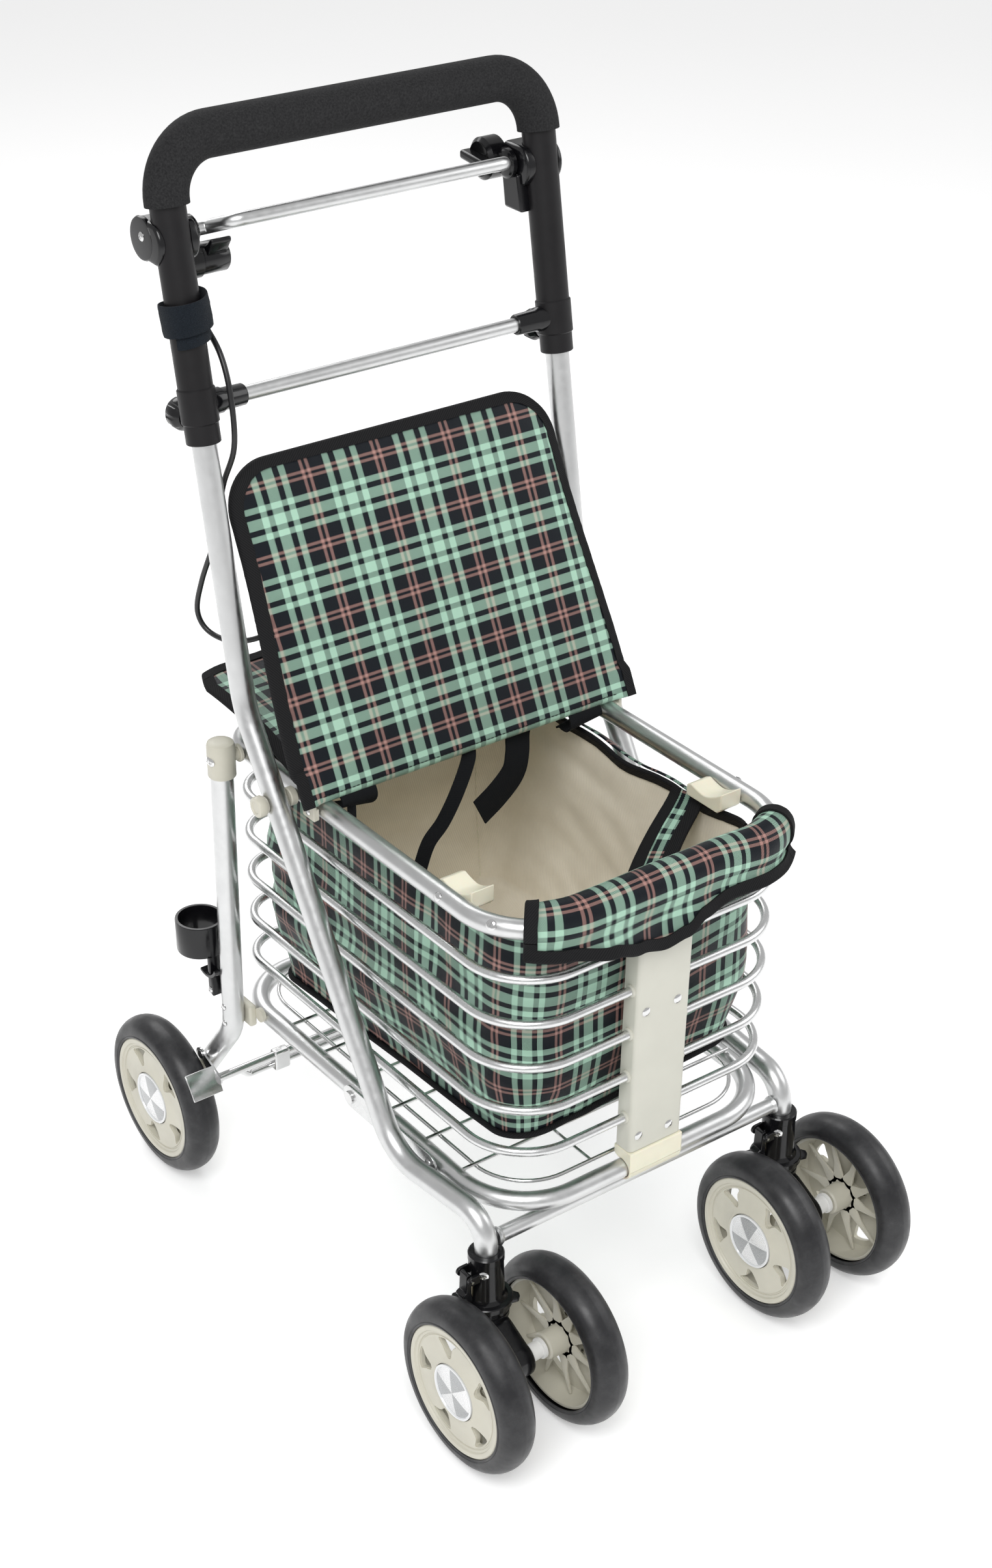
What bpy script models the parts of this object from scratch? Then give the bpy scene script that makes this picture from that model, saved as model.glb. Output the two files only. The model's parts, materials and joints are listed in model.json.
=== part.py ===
"""Shopping trolley on wheels: a walking aid with a basket, a seat lid and a hand brake.

Units are metres. +Z is up, the trolley rolls towards -Y and its user stands at +Y.
The origin is on the floor under the middle of the wheels' box.
"""
import math

import bmesh
import bpy
from mathutils import Matrix, Vector

# ---------------------------------------------------------------- driving dimensions
GAP = 0.0003                    # clearance between pieces that touch

WHEEL_R = 0.075                 # wheel radius over the tyre
WHEEL_FACES = 20                # flat facets round a wheel
RIM_R = 0.0575                  # hub radius under the tyre
TYRE_WIDTH = 0.032
HUB_FACE = 0.0155               # from a wheel's middle plane to its hub's outer face
HUB_DEPTH = 0.034               # from the hub's outer face to the end of its boss
AXLE_R = 0.004
AXLE_SHORT = 0.005              # axles end this far inside the hubs' outer faces
FRONT_AXLE_Y = -0.235
REAR_AXLE_Y = 0.235
REAR_WHEEL_X = 0.1964

CASTER_X = 0.155                # swivel axis
CASTER_Y = -0.195
TWIN_OFFSET = 0.0462            # each twin wheel from the swivel axis
SOCKET_TOP = 0.163
SOCKET_BASE = 0.112

SIDE_TUBE_R = 0.0095
SIDE_X = 0.165                  # side tubes' middle planes
REAR_LEG_X = 0.166
HANDLE_TUBE_R = 0.0132
HANDLE_TILT = math.radians(10.5)
HANDLE_LOW = 0.712              # lower ends of the handle tube
GRIP_LOW = 0.876                # lower ends of the foam
GRIP_Z = 0.917                  # middle of the grip
GRIP_R = 0.0165
TELESCOPE_TOP = 0.842           # side tubes end here, inside the handle tube

RIM_TUBE_R = 0.008
RIM_Z = 0.446
RIM_FRONT_RADIUS = 0.060
RING_Z = 0.1915
BASKET_X = 0.140                # basket tubes' middle lines
BASKET_FRONT = -0.204
BASKET_REAR = 0.182
ROD_R = 0.0038
ROD_COUNT = 5
ROD_LOWEST = 0.2424
ROD_PITCH = 0.0402
PLATE_HALF = 0.0265             # front plate

LID_HINGE = (0.0, 0.042, 0.466)
LID_LEAN = math.radians(26.7)   # open lid, back from upright
LID_THICK = 0.014
LID_HALF = 0.163                # lid near its hinge
LID_TOP_HALF = 0.1515           # lid between the side tubes
HEM_HALF = 0.150
LID_LENGTH = 0.2475
GRIP_BEND = 0.040               # radius of the handle's upper corners

BRAKE_PIVOT = (0.188, 0.852)    # brake bar's axis, as y and z
LEVER_PIVOT = (0.192, 0.829)    # parking lever's axis, as y and z
YOKE_PIVOT = (0.199, 0.131)     # rear brake's axis, as y and z
BRAKE_ROD_R = 0.005

SILVER = ("silver_tube", (0.78, 0.79, 0.79), 0.35, 0.9)
CHROME = ("bright_steel", (0.75, 0.76, 0.76), 0.15, 1.0)
BLACK = ("black_plastic", (0.02, 0.02, 0.022), 0.25, 0.0)
BLACK_TUBE = ("black_tube", (0.025, 0.024, 0.026), 0.35, 0.0)
FOAM = ("grip_foam", (0.03, 0.03, 0.031), 0.9, 0.0)
BEIGE = ("beige_plastic", (0.62, 0.58, 0.47), 0.45, 0.0)
CREAM = ("cream_plastic", (0.80, 0.77, 0.65), 0.4, 0.0)
PLATE = ("plate_paint", (0.66, 0.63, 0.56), 0.4, 0.0)
TYRE = ("tyre_rubber", (0.035, 0.035, 0.037), 0.45, 0.0)
PLAID = ("plaid_cloth", (0.13, 0.24, 0.19), 0.5, 0.0)
STRAP = ("strap_cloth", (0.015, 0.02, 0.025), 0.95, 0.0)


# ---------------------------------------------------------------- scene helpers
def clear_scene():
    """Remove every object, so the file holds only the trolley."""
    for old in list(bpy.data.objects):
        bpy.data.objects.remove(old, do_unlink=True)


def material(spec):
    """Return the named Principled material, making it once."""
    name, colour, roughness, metallic = spec
    found = bpy.data.materials.get(name)
    if found:
        return found
    made = bpy.data.materials.new(name)
    made.use_nodes = True
    shader = made.node_tree.nodes["Principled BSDF"]
    shader.inputs["Base Color"].default_value = (*colour, 1.0)
    shader.inputs["Roughness"].default_value = roughness
    shader.inputs["Metallic"].default_value = metallic
    return made


def pivot(name, place, parent=None):
    """Make an empty on a joint's axis."""
    empty = bpy.data.objects.new(name, None)
    bpy.context.scene.collection.objects.link(empty)
    empty.parent = parent
    base = world_place(parent) if parent else Vector((0, 0, 0))
    empty.location = Vector(place) - base
    return empty


def world_place(empty):
    """World position of an unrotated empty."""
    place = Vector((0, 0, 0))
    while empty:
        place += empty.location
        empty = empty.parent
    return place


def piece(name, bm, spec, parent=None, smooth=35):
    """Turn a bmesh drawn in world space into an object whose origin is its parent's."""
    base = world_place(parent) if parent else Vector((0, 0, 0))
    bmesh.ops.translate(bm, verts=bm.verts, vec=-base)
    bmesh.ops.recalc_face_normals(bm, faces=bm.faces)
    mesh = bpy.data.meshes.new(name)
    bm.to_mesh(mesh)
    bm.free()
    mesh.materials.append(material(spec))
    mesh.shade_smooth()
    mesh.set_sharp_from_angle(angle=math.radians(smooth))
    made = bpy.data.objects.new(name, mesh)
    bpy.context.scene.collection.objects.link(made)
    made.parent = parent
    return made


def combine(target, bm, operation):
    """Cut a shape out of an object, or weld it on, with a Boolean."""
    helper = piece(target.name + "_" + operation.lower(), bm, CHROME)
    helper.hide_render = True
    helper.display_type = "WIRE"
    mod = target.modifiers.new(operation.title(), "BOOLEAN")
    mod.operation = operation
    mod.object = helper
    mod.solver = "EXACT"
    return target


def cut(target, bm):
    return combine(target, bm, "DIFFERENCE")


def weld(target, bm):
    return combine(target, bm, "UNION")


# ---------------------------------------------------------------- shape helpers
def rounded_path(points, radii, steps=4):
    """Round a polyline's inner corners with arcs; a radius of 0 keeps a corner."""
    points = [Vector(p) for p in points]
    path = [points[0]]
    for before, corner, after, radius in zip(points, points[1:], points[2:], radii):
        if not radius:
            path.append(corner)
            continue
        a = (before - corner).normalized()
        b = (after - corner).normalized()
        half = a.angle(b) / 2
        middle = corner + (a + b).normalized() * radius / math.sin(half)
        start = corner + a * radius / math.tan(half) - middle
        turn = math.pi - 2 * half
        axis = start.cross(-a)
        for k in range(steps + 1):
            path.append(middle + Matrix.Rotation(turn * k / steps, 3, axis) @ start)
    path.append(points[-1])
    return path


def rounded_rectangle(half_x, y_front, y_rear, z, front_radius, rear_radius, steps=4):
    """Points round a rectangle with rounded corners, from the front left corner on."""
    points = []
    corners = (
        (-half_x + front_radius, y_front + front_radius, front_radius, 270),
        (-half_x + rear_radius, y_rear - rear_radius, rear_radius, 180),
        (half_x - rear_radius, y_rear - rear_radius, rear_radius, 90),
        (half_x - front_radius, y_front + front_radius, front_radius, 0),
    )
    for x, y, radius, start in corners:
        for k in range(steps + 1):
            angle = math.radians(start - 90 * k / steps)
            points.append(Vector((x + radius * math.cos(angle), y + radius * math.sin(angle), z)))
    return points


def sweep(path, radius, sides=10, closed=False, up=(0, 0, 1)):
    """Sweep a regular polygon along a path, keeping it square to the path."""
    path = [Vector(p) for p in path]
    bm = bmesh.new()
    count = len(path)
    rings = []
    normal = None
    for k, point in enumerate(path):
        before = path[k - 1] if closed or k else path[k]
        after = path[(k + 1) % count] if closed or k < count - 1 else path[k]
        into = (point - before).normalized() if point != before else Vector()
        out = (after - point).normalized() if point != after else Vector()
        along = (into + out).normalized()
        if normal is None:
            guide = Vector(up)
            if abs(guide.dot(along)) > 0.9:
                guide = Vector((1, 0, 0))
            normal = guide
        normal = (normal - along * normal.dot(along)).normalized()
        side = along.cross(normal)
        bend = into.angle(out) if into.length and out.length else 0.0
        stretch = 1 / math.cos(bend / 2)
        across = (out - into)
        ring = []
        for j in range(sides):
            angle = 2 * math.pi * (j + 0.5) / sides
            offset = (normal * math.cos(angle) + side * math.sin(angle)) * radius
            if across.length > 1e-6:
                lean = across.normalized()
                offset += lean * offset.dot(lean) * (stretch - 1)
            ring.append(bm.verts.new(point + offset))
        rings.append(ring)
    bridge(bm, rings, closed)
    return bm


def bridge(bm, rings, closed=False):
    """Join rings of equal length with quads, and cap an open run's ends."""
    count = len(rings)
    sides = len(rings[0])
    for k in range(count if closed else count - 1):
        first, second = rings[k], rings[(k + 1) % count]
        for j in range(sides):
            i = (j + 1) % sides
            bm.faces.new((first[j], first[i], second[i], second[j]))
    if not closed:
        bm.faces.new(rings[0][::-1])
        bm.faces.new(rings[-1])


def lathe(profile, place, axis="Z", faces=16):
    """Spin a closed profile of (along, radius) points about an axis through a place."""
    bm = bmesh.new()
    spoke = {"X": lambda a, c, s: (a, c, s), "Y": lambda a, c, s: (c, a, s),
             "Z": lambda a, c, s: (c, s, a)}[axis]
    rings = []
    for k in range(faces):
        angle = 2 * math.pi * (k + 0.5) / faces
        ring = []
        for along, radius in profile:
            radius = radius / math.cos(math.pi / faces)
            offset = spoke(along, radius * math.cos(angle), radius * math.sin(angle))
            ring.append(bm.verts.new(Vector(place) + Vector(offset)))
        rings.append(ring)
    bridge(bm, rings, closed=True)
    return bm


def rod(start, end, radius, faces=12):
    """A straight round bar between two points."""
    return sweep([start, end], radius, faces)


def box(low, high):
    """A rectangular block between two corners."""
    low, high = Vector(low), Vector(high)
    bm = bmesh.new()
    bmesh.ops.create_cube(bm, size=1.0)
    size = high - low
    middle = (low + high) / 2
    bmesh.ops.transform(bm, matrix=Matrix.Translation(middle) @ Matrix.Diagonal((*size, 1)), verts=bm.verts)
    return bm


def prism(outline, x_from, x_to):
    """Extrude an outline of (y, z) points along X."""
    bm = bmesh.new()
    rings = [[bm.verts.new((x, y, z)) for y, z in outline] for x in (x_from, x_to)]
    bridge(bm, rings)
    return bm


def arc(centre, radius, start, end, steps):
    """Points on an arc in degrees, for outlines."""
    angles = [math.radians(start + (end - start) * k / steps) for k in range(steps + 1)]
    return [(centre[0] + radius * math.cos(a), centre[1] + radius * math.sin(a)) for a in angles]


def side_name(name, side):
    return name + ("_left" if side < 0 else "_right")


# ---------------------------------------------------------------- frame
def handle_y(z):
    """Y of the leaning upper tubes' middle line at a height."""
    return 0.1455 + math.tan(HANDLE_TILT) * (z - 0.70)


SIDE_BEND = Vector((SIDE_X, handle_y(0.51), 0.51))
SIDE_SLOPE = 0.62               # run over drop of the lower side tube
SIDE_FLAT_Z = 0.193             # the tube's level run over the swivel
KNOB_Z = RIM_Z
KNOB_R = 0.0085


def slope_y(z):
    """Y of the sloping lower side tube at a height."""
    return SIDE_BEND.y - SIDE_SLOPE * (SIDE_BEND.z - z)


def side_tube(side):
    """Silver tube from inside the handle down to the swivel socket."""
    x = side * SIDE_X
    stem = side * CASTER_X
    path = rounded_path(
        [
            (x, handle_y(TELESCOPE_TOP), TELESCOPE_TOP),
            (x, SIDE_BEND.y, SIDE_BEND.z),
            (x, slope_y(SIDE_FLAT_Z), SIDE_FLAT_Z),
            (stem, CASTER_Y, SIDE_FLAT_Z),
            (stem, CASTER_Y, SOCKET_TOP - 0.033),
        ],
        [0.09, 0.05, 0.026],
    )
    tube = piece(side_name("side_tube", side), sweep(path, SIDE_TUBE_R, 10), SILVER)
    bolt = (slope_y(KNOB_Z), KNOB_Z)
    return cut(tube, rod((x - 0.02, *bolt), (x + 0.02, *bolt), 0.0034))


LEG_TOP = (0.150, 0.452)
LEG_KNEE = (0.1575, 0.180)


def rear_leg(side):
    """Silver rear leg with the wheel's axle pressed through its lower end."""
    x = side * REAR_LEG_X
    foot = Vector((x, REAR_AXLE_Y + 0.0055, WHEEL_R - 0.007))
    path = rounded_path([(x, *LEG_TOP), (x, *LEG_KNEE), foot], [0.05])
    leg = piece(side_name("rear_leg", side), sweep(path, SIDE_TUBE_R, 10), SILVER)
    axle_end = side * (REAR_WHEEL_X + HUB_FACE - AXLE_SHORT)
    axle = rod((x, REAR_AXLE_Y, WHEEL_R), (axle_end, REAR_AXLE_Y, WHEEL_R), AXLE_R)
    return weld(leg, axle)


def leg_cap(side):
    """Moulded cap on a rear leg, with an arm to the top rim."""
    x = side * REAR_LEG_X
    low, high = 0.433, 0.464
    radius = 0.0115
    profile = [(low, SIDE_TUBE_R + 2 * GAP), (low, radius), (high - 0.003, radius), (high, radius - 0.003),
               (high, 0.0015), (LEG_TOP[1] + 0.001, 0.0015), (LEG_TOP[1] + 0.001, SIDE_TUBE_R + 2 * GAP)]
    cap = piece(side_name("leg_cap", side), lathe(profile, (x, LEG_TOP[0], 0)), BEIGE)
    arm_z = RIM_Z + 0.002
    inner = side * (BASKET_X + RIM_TUBE_R + 2 * GAP)
    arm = rod((x - side * 0.0105, LEG_TOP[0], arm_z), (inner, LEG_TOP[0], arm_z), 0.005, 10)
    return weld(cap, arm)


def leg_spacer(side):
    """Moulded block between a rear leg and the bottom ring."""
    outer = side * (REAR_LEG_X - SIDE_TUBE_R - 2 * GAP)
    inner = side * (BASKET_X + RIM_TUBE_R + 2 * GAP)
    low, high = min(outer, inner), max(outer, inner)
    return piece(side_name("leg_spacer", side), box((low, 0.146, 0.181), (high, 0.168, 0.202)), BEIGE)


def top_rim():
    """Rounded tube that the bag and the lid sit on."""
    path = rounded_rectangle(BASKET_X, BASKET_FRONT, BASKET_REAR, RIM_Z, RIM_FRONT_RADIUS, 0.030)
    rim = piece("top_rim", sweep(path, RIM_TUBE_R, 10, closed=True), SILVER)
    for side in (-1, 1):
        bolt = (slope_y(KNOB_Z), KNOB_Z)
        inner = side * (BASKET_X + 0.002)
        cut(rim, rod((inner, *bolt), (side * (BASKET_X + 0.02), *bolt), 0.0034))
    return rim


def rim_knob(side):
    """Moulded knob, bolt and collar that hold a side tube to the top rim."""
    y, z = slope_y(KNOB_Z), KNOB_Z
    outer = SIDE_X + SIDE_TUBE_R + 2 * GAP
    inner = SIDE_X - SIDE_TUBE_R - 2 * GAP
    rim = BASKET_X + RIM_TUBE_R + 2 * GAP
    shoulder, tip = outer + 0.0075, outer + 0.0095
    profile = [(outer, 0.0), (outer, KNOB_R), (shoulder, KNOB_R), (tip, KNOB_R - 0.002), (tip, 0.0)]
    knob = piece(side_name("rim_knob", side), turned(profile, y, z, side), BEIGE)
    collar_r = KNOB_R - 0.001
    collar = turned([(rim, 0.0), (rim, collar_r), (inner, collar_r), (inner, 0.0)], y, z, side)
    bolt = rod((side * (outer + 0.003), y, z), (side * (BASKET_X + 0.0035), y, z), 0.003, 12)
    weld(knob, collar)
    return weld(knob, bolt)


def turned(profile, y, z, side, faces=16):
    """Turn an open (x, radius) profile that starts and ends on the axis."""
    bm = bmesh.new()
    rings = []
    for along, radius in profile[1:-1]:
        ring = []
        for k in range(faces):
            angle = 2 * math.pi * k / faces
            across = (radius * math.cos(angle), radius * math.sin(angle))
            ring.append(bm.verts.new((side * along, y + across[0], z + across[1])))
        rings.append(ring)
    bridge(bm, rings)
    return bm


def basket_rods():
    """Thin tubes round the bag; their ends enter the front plate's flanges."""
    end = Vector((PLATE_HALF + GAP, BASKET_FRONT, 0))
    for k in range(ROD_COUNT):
        z = ROD_LOWEST + k * ROD_PITCH
        loop = rounded_rectangle(BASKET_X, BASKET_FRONT, BASKET_REAR, z, 0.055, 0.035)
        path = [Vector((-end.x, end.y, z)), *loop, Vector((end.x, end.y, z))]
        piece(f"basket_rod_{k + 1}", sweep(path, ROD_R, 6), SILVER)


def bottom_ring():
    """Heavy rounded tube under the basket."""
    path = rounded_rectangle(BASKET_X, BASKET_FRONT, BASKET_REAR + 0.011, RING_Z, 0.062, 0.055)
    return piece("bottom_ring", sweep(path, RIM_TUBE_R, 10, closed=True), SILVER)


def front_plate():
    """Upright channel that ties the rods between the rim and the ring."""
    low, high = RING_Z + 0.019, RIM_Z - RIM_TUBE_R - 2 * GAP
    face, back, wall = -0.2125, -0.1955, 0.0016
    outline = [
        (-PLATE_HALF, back), (-PLATE_HALF, face + 0.0015), (-PLATE_HALF + 0.0015, face),
        (PLATE_HALF - 0.0015, face), (PLATE_HALF, face + 0.0015), (PLATE_HALF, back),
        (PLATE_HALF - wall, back), (PLATE_HALF - wall, face + wall), (-PLATE_HALF + wall, face + wall),
        (-PLATE_HALF + wall, back),
    ]
    bm = bmesh.new()
    rings = [[bm.verts.new((x, y, z)) for x, y in outline] for z in (low, high)]
    bridge(bm, rings)
    return piece("front_plate", bm, PLATE, smooth=20)


def front_clip():
    """Moulded clip round the bottom ring under the front plate."""
    low = (-PLATE_HALF + 0.0005, -0.2145, RING_Z - RIM_TUBE_R - 0.0025)
    high = (PLATE_HALF - 0.0005, -0.1935, RING_Z + 0.0187)
    clip = piece("front_clip", box(low, high), CREAM, smooth=20)
    reach = 0.05
    seat = rod((-reach, BASKET_FRONT, RING_Z), (reach, BASKET_FRONT, RING_Z), RIM_TUBE_R + 2 * GAP, 12)
    return cut(clip, seat)


def floor_grid():
    """Wire floor: a border inside the ring, with cross wires that rest on the ring."""
    wire = 0.0017
    z = RING_Z + RIM_TUBE_R + 0.0004
    border = rounded_rectangle(0.126, BASKET_FRONT + 0.014, BASKET_REAR - 0.004, z, 0.050, 0.045, 3)
    grid = piece("floor_grid", sweep(border, wire, 6, closed=True), CHROME)
    for k in range(6):
        y = BASKET_FRONT + 0.062 + k * 0.049
        weld(grid, rod((-0.139, y, z + 0.0024), (0.139, y, z + 0.0024), wire, 6))
    return grid


def front_cross_tube():
    """Tube between the two front stubs, under the basket."""
    end = CASTER_X - SIDE_TUBE_R - 3 * GAP
    y, z = CASTER_Y, 0.1725
    tube = piece("front_cross_tube", rod((-end, y, z), (end, y, z), 0.0065, 12), SILVER)
    return tube


def ring_bracket(side):
    """Flat steel strap that ties the bottom ring to a side tube."""
    inner = side * (BASKET_X + RIM_TUBE_R + 0.0018)
    outer = side * (BASKET_X + RIM_TUBE_R + 0.0038)
    rear, front, half = -0.002, -0.112, 0.0105
    level = RING_Z + 0.003
    outline = arc((front, level), half, 270, 90, 6) + arc((rear, level), half, 90, -90, 6)
    return piece(side_name("ring_bracket", side), prism(outline, inner, outer), CHROME)


def rim_stopper(side):
    """Moulded rest on the inside of the rim, under the closed lid."""
    outer = side * (BASKET_X - RIM_TUBE_R - 2 * GAP)
    front, rear, low, top, width = -0.141, -0.100, 0.439, 0.4525, 0.018
    outline = [(front, low), (rear, low), (rear, top - 0.005), (rear - 0.005, top), (front + 0.010, top),
               (front, top - 0.0065)]
    return piece(side_name("rim_stopper", side), prism(outline, outer, outer - side * width), CREAM)


def cane_holder():
    """Plastic ring and strap behind the left leg for a walking stick."""
    place = (-0.1745, 0.1895, 0)
    low, high = 0.250, 0.280
    profile = [(low, 0.0180), (low, 0.0207), (high, 0.0207), (high, 0.0180)]
    ring = piece("cane_holder", lathe(profile, place, faces=20), BLACK)
    knuckle_y = LEG_TOP[0] + 0.0075 + SIDE_TUBE_R
    strap = [(0.1745, 0.262), (0.1745, 0.212), (knuckle_y, 0.209), (knuckle_y, 0.222), (0.1700, 0.236),
             (0.1700, 0.262)]
    return weld(ring, prism(strap, -0.1775, -0.1685))


# ---------------------------------------------------------------- soft parts
def bag():
    """Open bag inside the rods, with a flap that folds over the front of the rim."""
    wall = 0.003
    top, bottom, waist = 0.4345, 0.2085, 0.300
    half_x, front, rear = 0.1285, -0.1945, 0.1720
    front_rise, right_rise = 0.020, 0.016
    levels = [(bottom, 0.016), (bottom + 0.012, 0.005), (waist, 0.001), (top, 0.0)]
    bm = bmesh.new()

    def floor_lift(point):
        """The floor slopes up towards the front and the right."""
        forward = (rear - point.y) / (rear - front)
        rightward = (point.x + half_x) / (2 * half_x)
        return front_rise * forward + right_rise * rightward

    def ring(z, inset):
        points = rounded_rectangle(half_x - inset, front + inset, rear - inset, z, 0.045, 0.035, 3)
        if z < waist:
            points = [p + Vector((0, 0, floor_lift(p))) for p in points]
        return [bm.verts.new(p) for p in points]

    outside = [ring(z, inset) for z, inset in levels]
    inside = [ring(max(z, bottom + wall), inset + wall) for z, inset in reversed(levels)]
    bridge(bm, outside + inside)
    tub = piece("bag", bm, PLAID)
    over = RIM_TUBE_R + 0.0014
    outer, hem, tuck = 0.0095, -0.028, -0.021
    skin, round_off = 0.0030, 0.002
    top_over = over + skin
    section = [
        (-top_over, tuck), (-over, tuck), (-over, over), (outer, over), (outer, hem), (outer + skin, hem),
        (outer + skin, top_over - round_off), (outer + skin - round_off, top_over),
        (-top_over + round_off, top_over), (-top_over, top_over - round_off),
    ]
    corner, reach = RIM_FRONT_RADIUS, 50
    line = []
    for flank, start, end in ((-1, 270 - reach, 270), (1, 270, 270 + reach)):
        centre = (flank * (BASKET_X - corner), BASKET_FRONT + corner)
        for k in range(5):
            angle = math.radians(start + (end - start) * k / 4)
            line.append((centre, Vector((math.cos(angle), math.sin(angle), 0))))
    rings = []
    shape = bmesh.new()
    for (cx, cy), outward in line:
        base = Vector((cx, cy, RIM_Z)) + outward * corner
        rings.append([shape.verts.new(base + outward * n + Vector((0, 0, z))) for n, z in section])
    bridge(shape, rings)
    return weld(tub, shape)


def rear_flap():
    """Stiffened cloth flap behind the lid, over the rear of the rim."""
    front, rear, thick = (0.068, 0.464), (0.219, 0.486), 0.006
    lift = 0.005
    crest = ((front[0] + rear[0]) / 2, (front[1] + rear[1]) / 2 + thick + lift / 2)
    outline = [front, rear, (rear[0], rear[1] + thick), crest, (front[0], front[1] + thick)]
    return piece("rear_flap", prism(outline, -HEM_HALF, HEM_HALF), PLAID)


def seat_lid(body):
    """Padded lid that stands open against its hinge rod."""
    along = Vector((0, math.sin(LID_LEAN), math.cos(LID_LEAN)))
    across = Vector((0, math.cos(LID_LEAN), -math.sin(LID_LEAN)))
    hinge = Vector(LID_HINGE)
    low, high, shoulder, corner = -0.010, LID_LENGTH, 0.0085, 0.040
    right = [(HEM_HALF, low), (HEM_HALF, shoulder), (LID_HALF + 0.002, shoulder), (LID_HALF, 0.105),
             (LID_TOP_HALF, 0.160)]
    right += arc((LID_TOP_HALF - corner, high - corner), corner, 0, 90, 5)
    outline = right + [(-x, s) for x, s in reversed(right)]
    half = LID_THICK / 2
    bm = bmesh.new()
    rings = []
    edge = 0.004
    for depth, shrink in ((-half, edge), (-half + edge, 0.0), (half - edge, 0.0), (half, edge)):
        ring = []
        for x, s in outline:
            x *= 1 - shrink / LID_HALF
            middle = (low + high) / 2
            s = middle + (s - middle) * (1 - 2 * shrink / (high - low))
            ring.append(bm.verts.new(hinge + Vector((x, 0, 0)) + along * s + across * depth))
        rings.append(ring)
    bridge(bm, rings)
    lid = piece("seat_lid", bm, PLAID, body)
    return cut(lid, rod(hinge - Vector((0.2, 0, 0)), hinge + Vector((0.2, 0, 0)), 0.0036, 12))


def seat_hinge():
    """Steel rod through the lid's hem, on two feet that stand on the rim."""
    x = HEM_HALF + 0.004
    _, y, z = LID_HINGE
    half, low = 0.008, RIM_Z - 0.006
    hinge = piece("seat_hinge", rod((-x, y, z), (x, y, z), 0.003, 10), CHROME)
    for side in (-1, 1):
        plate = [(y - half, low), (y + half, low), (y + half, RIM_Z + 0.006), *arc((y, z), 0.0045, 0, 180, 4),
                 (y - half, RIM_Z + 0.006)]
        weld(hinge, prism(plate, side * (HEM_HALF + 0.0012), side * x))
        foot = sorted((side * (BASKET_X + RIM_TUBE_R + 2 * GAP), side * (HEM_HALF + 0.002)))
        weld(hinge, box((foot[0], y - half, low), (foot[1], y + half, RIM_Z + 0.004)))
    return hinge


# ---------------------------------------------------------------- handle
def leg_axis(side):
    """Unit vector up a handle leg, and its lower end."""
    low = Vector((side * SIDE_X, handle_y(HANDLE_LOW), HANDLE_LOW))
    return low, Vector((0, math.sin(HANDLE_TILT), math.cos(HANDLE_TILT)))


def handle_path(low_z):
    """The handle's middle line from one leg over the grip to the other."""
    return rounded_path(
        [
            (-SIDE_X, handle_y(low_z), low_z),
            (-SIDE_X, handle_y(GRIP_Z), GRIP_Z),
            (SIDE_X, handle_y(GRIP_Z), GRIP_Z),
            (SIDE_X, handle_y(low_z), low_z),
        ],
        [GRIP_BEND, GRIP_BEND],
        steps=5,
    )


CROSSBAR_Z = 0.739
CROSSBAR_R = 0.0056


def crossbar_rod(start, end, radius):
    """A round bar on the crossbar's axis between two values of x."""
    y = handle_y(CROSSBAR_Z)
    return rod((start, y, CROSSBAR_Z), (end, y, CROSSBAR_Z), radius, 12)


def handle_tube(body):
    """Black bow whose hollow legs slide on the side tubes."""
    bow = sweep(handle_path(HANDLE_LOW), HANDLE_TUBE_R, 12, up=(1, 0, 0))
    tube = piece("handle_tube", bow, BLACK_TUBE, body)
    for side in (-1, 1):
        low, up = leg_axis(side)
        weld(tube, crossbar_rod(side * (SIDE_X - 0.006), side * (SIDE_X - 0.039), 0.009))
        boss = knob_place(side)
        weld(tube, rod(boss - Vector((0, 0.010, 0)), boss + Vector((0, 0.0035, 0)), 0.0075, 12))
        bore_top = (GRIP_LOW - HANDLE_LOW) / up.z - 0.002
        cut(tube, rod(low - up * 0.01, low + up * bore_top, SIDE_TUBE_R + 0.0008, 12))
        cut(tube, crossbar_rod(side * (SIDE_X - 0.050), side * (SIDE_X - 0.027), CROSSBAR_R + 2 * GAP))
    return tube


def knob_place(side):
    """Where an adjusting knob's boss leaves the rear of a leg."""
    z = HANDLE_LOW + 0.013
    return Vector((side * SIDE_X, handle_y(z) + HANDLE_TUBE_R / math.cos(HANDLE_TILT), z))


def foam_grip(body):
    """Foam sleeve over the top of the handle tube."""
    grip = piece("foam_grip", sweep(handle_path(GRIP_LOW), GRIP_R, 12, up=(1, 0, 0)), FOAM, body)
    inner = sweep(handle_path(GRIP_LOW - 0.010), HANDLE_TUBE_R + 0.0005, 12, up=(1, 0, 0))
    return cut(grip, inner)


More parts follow.
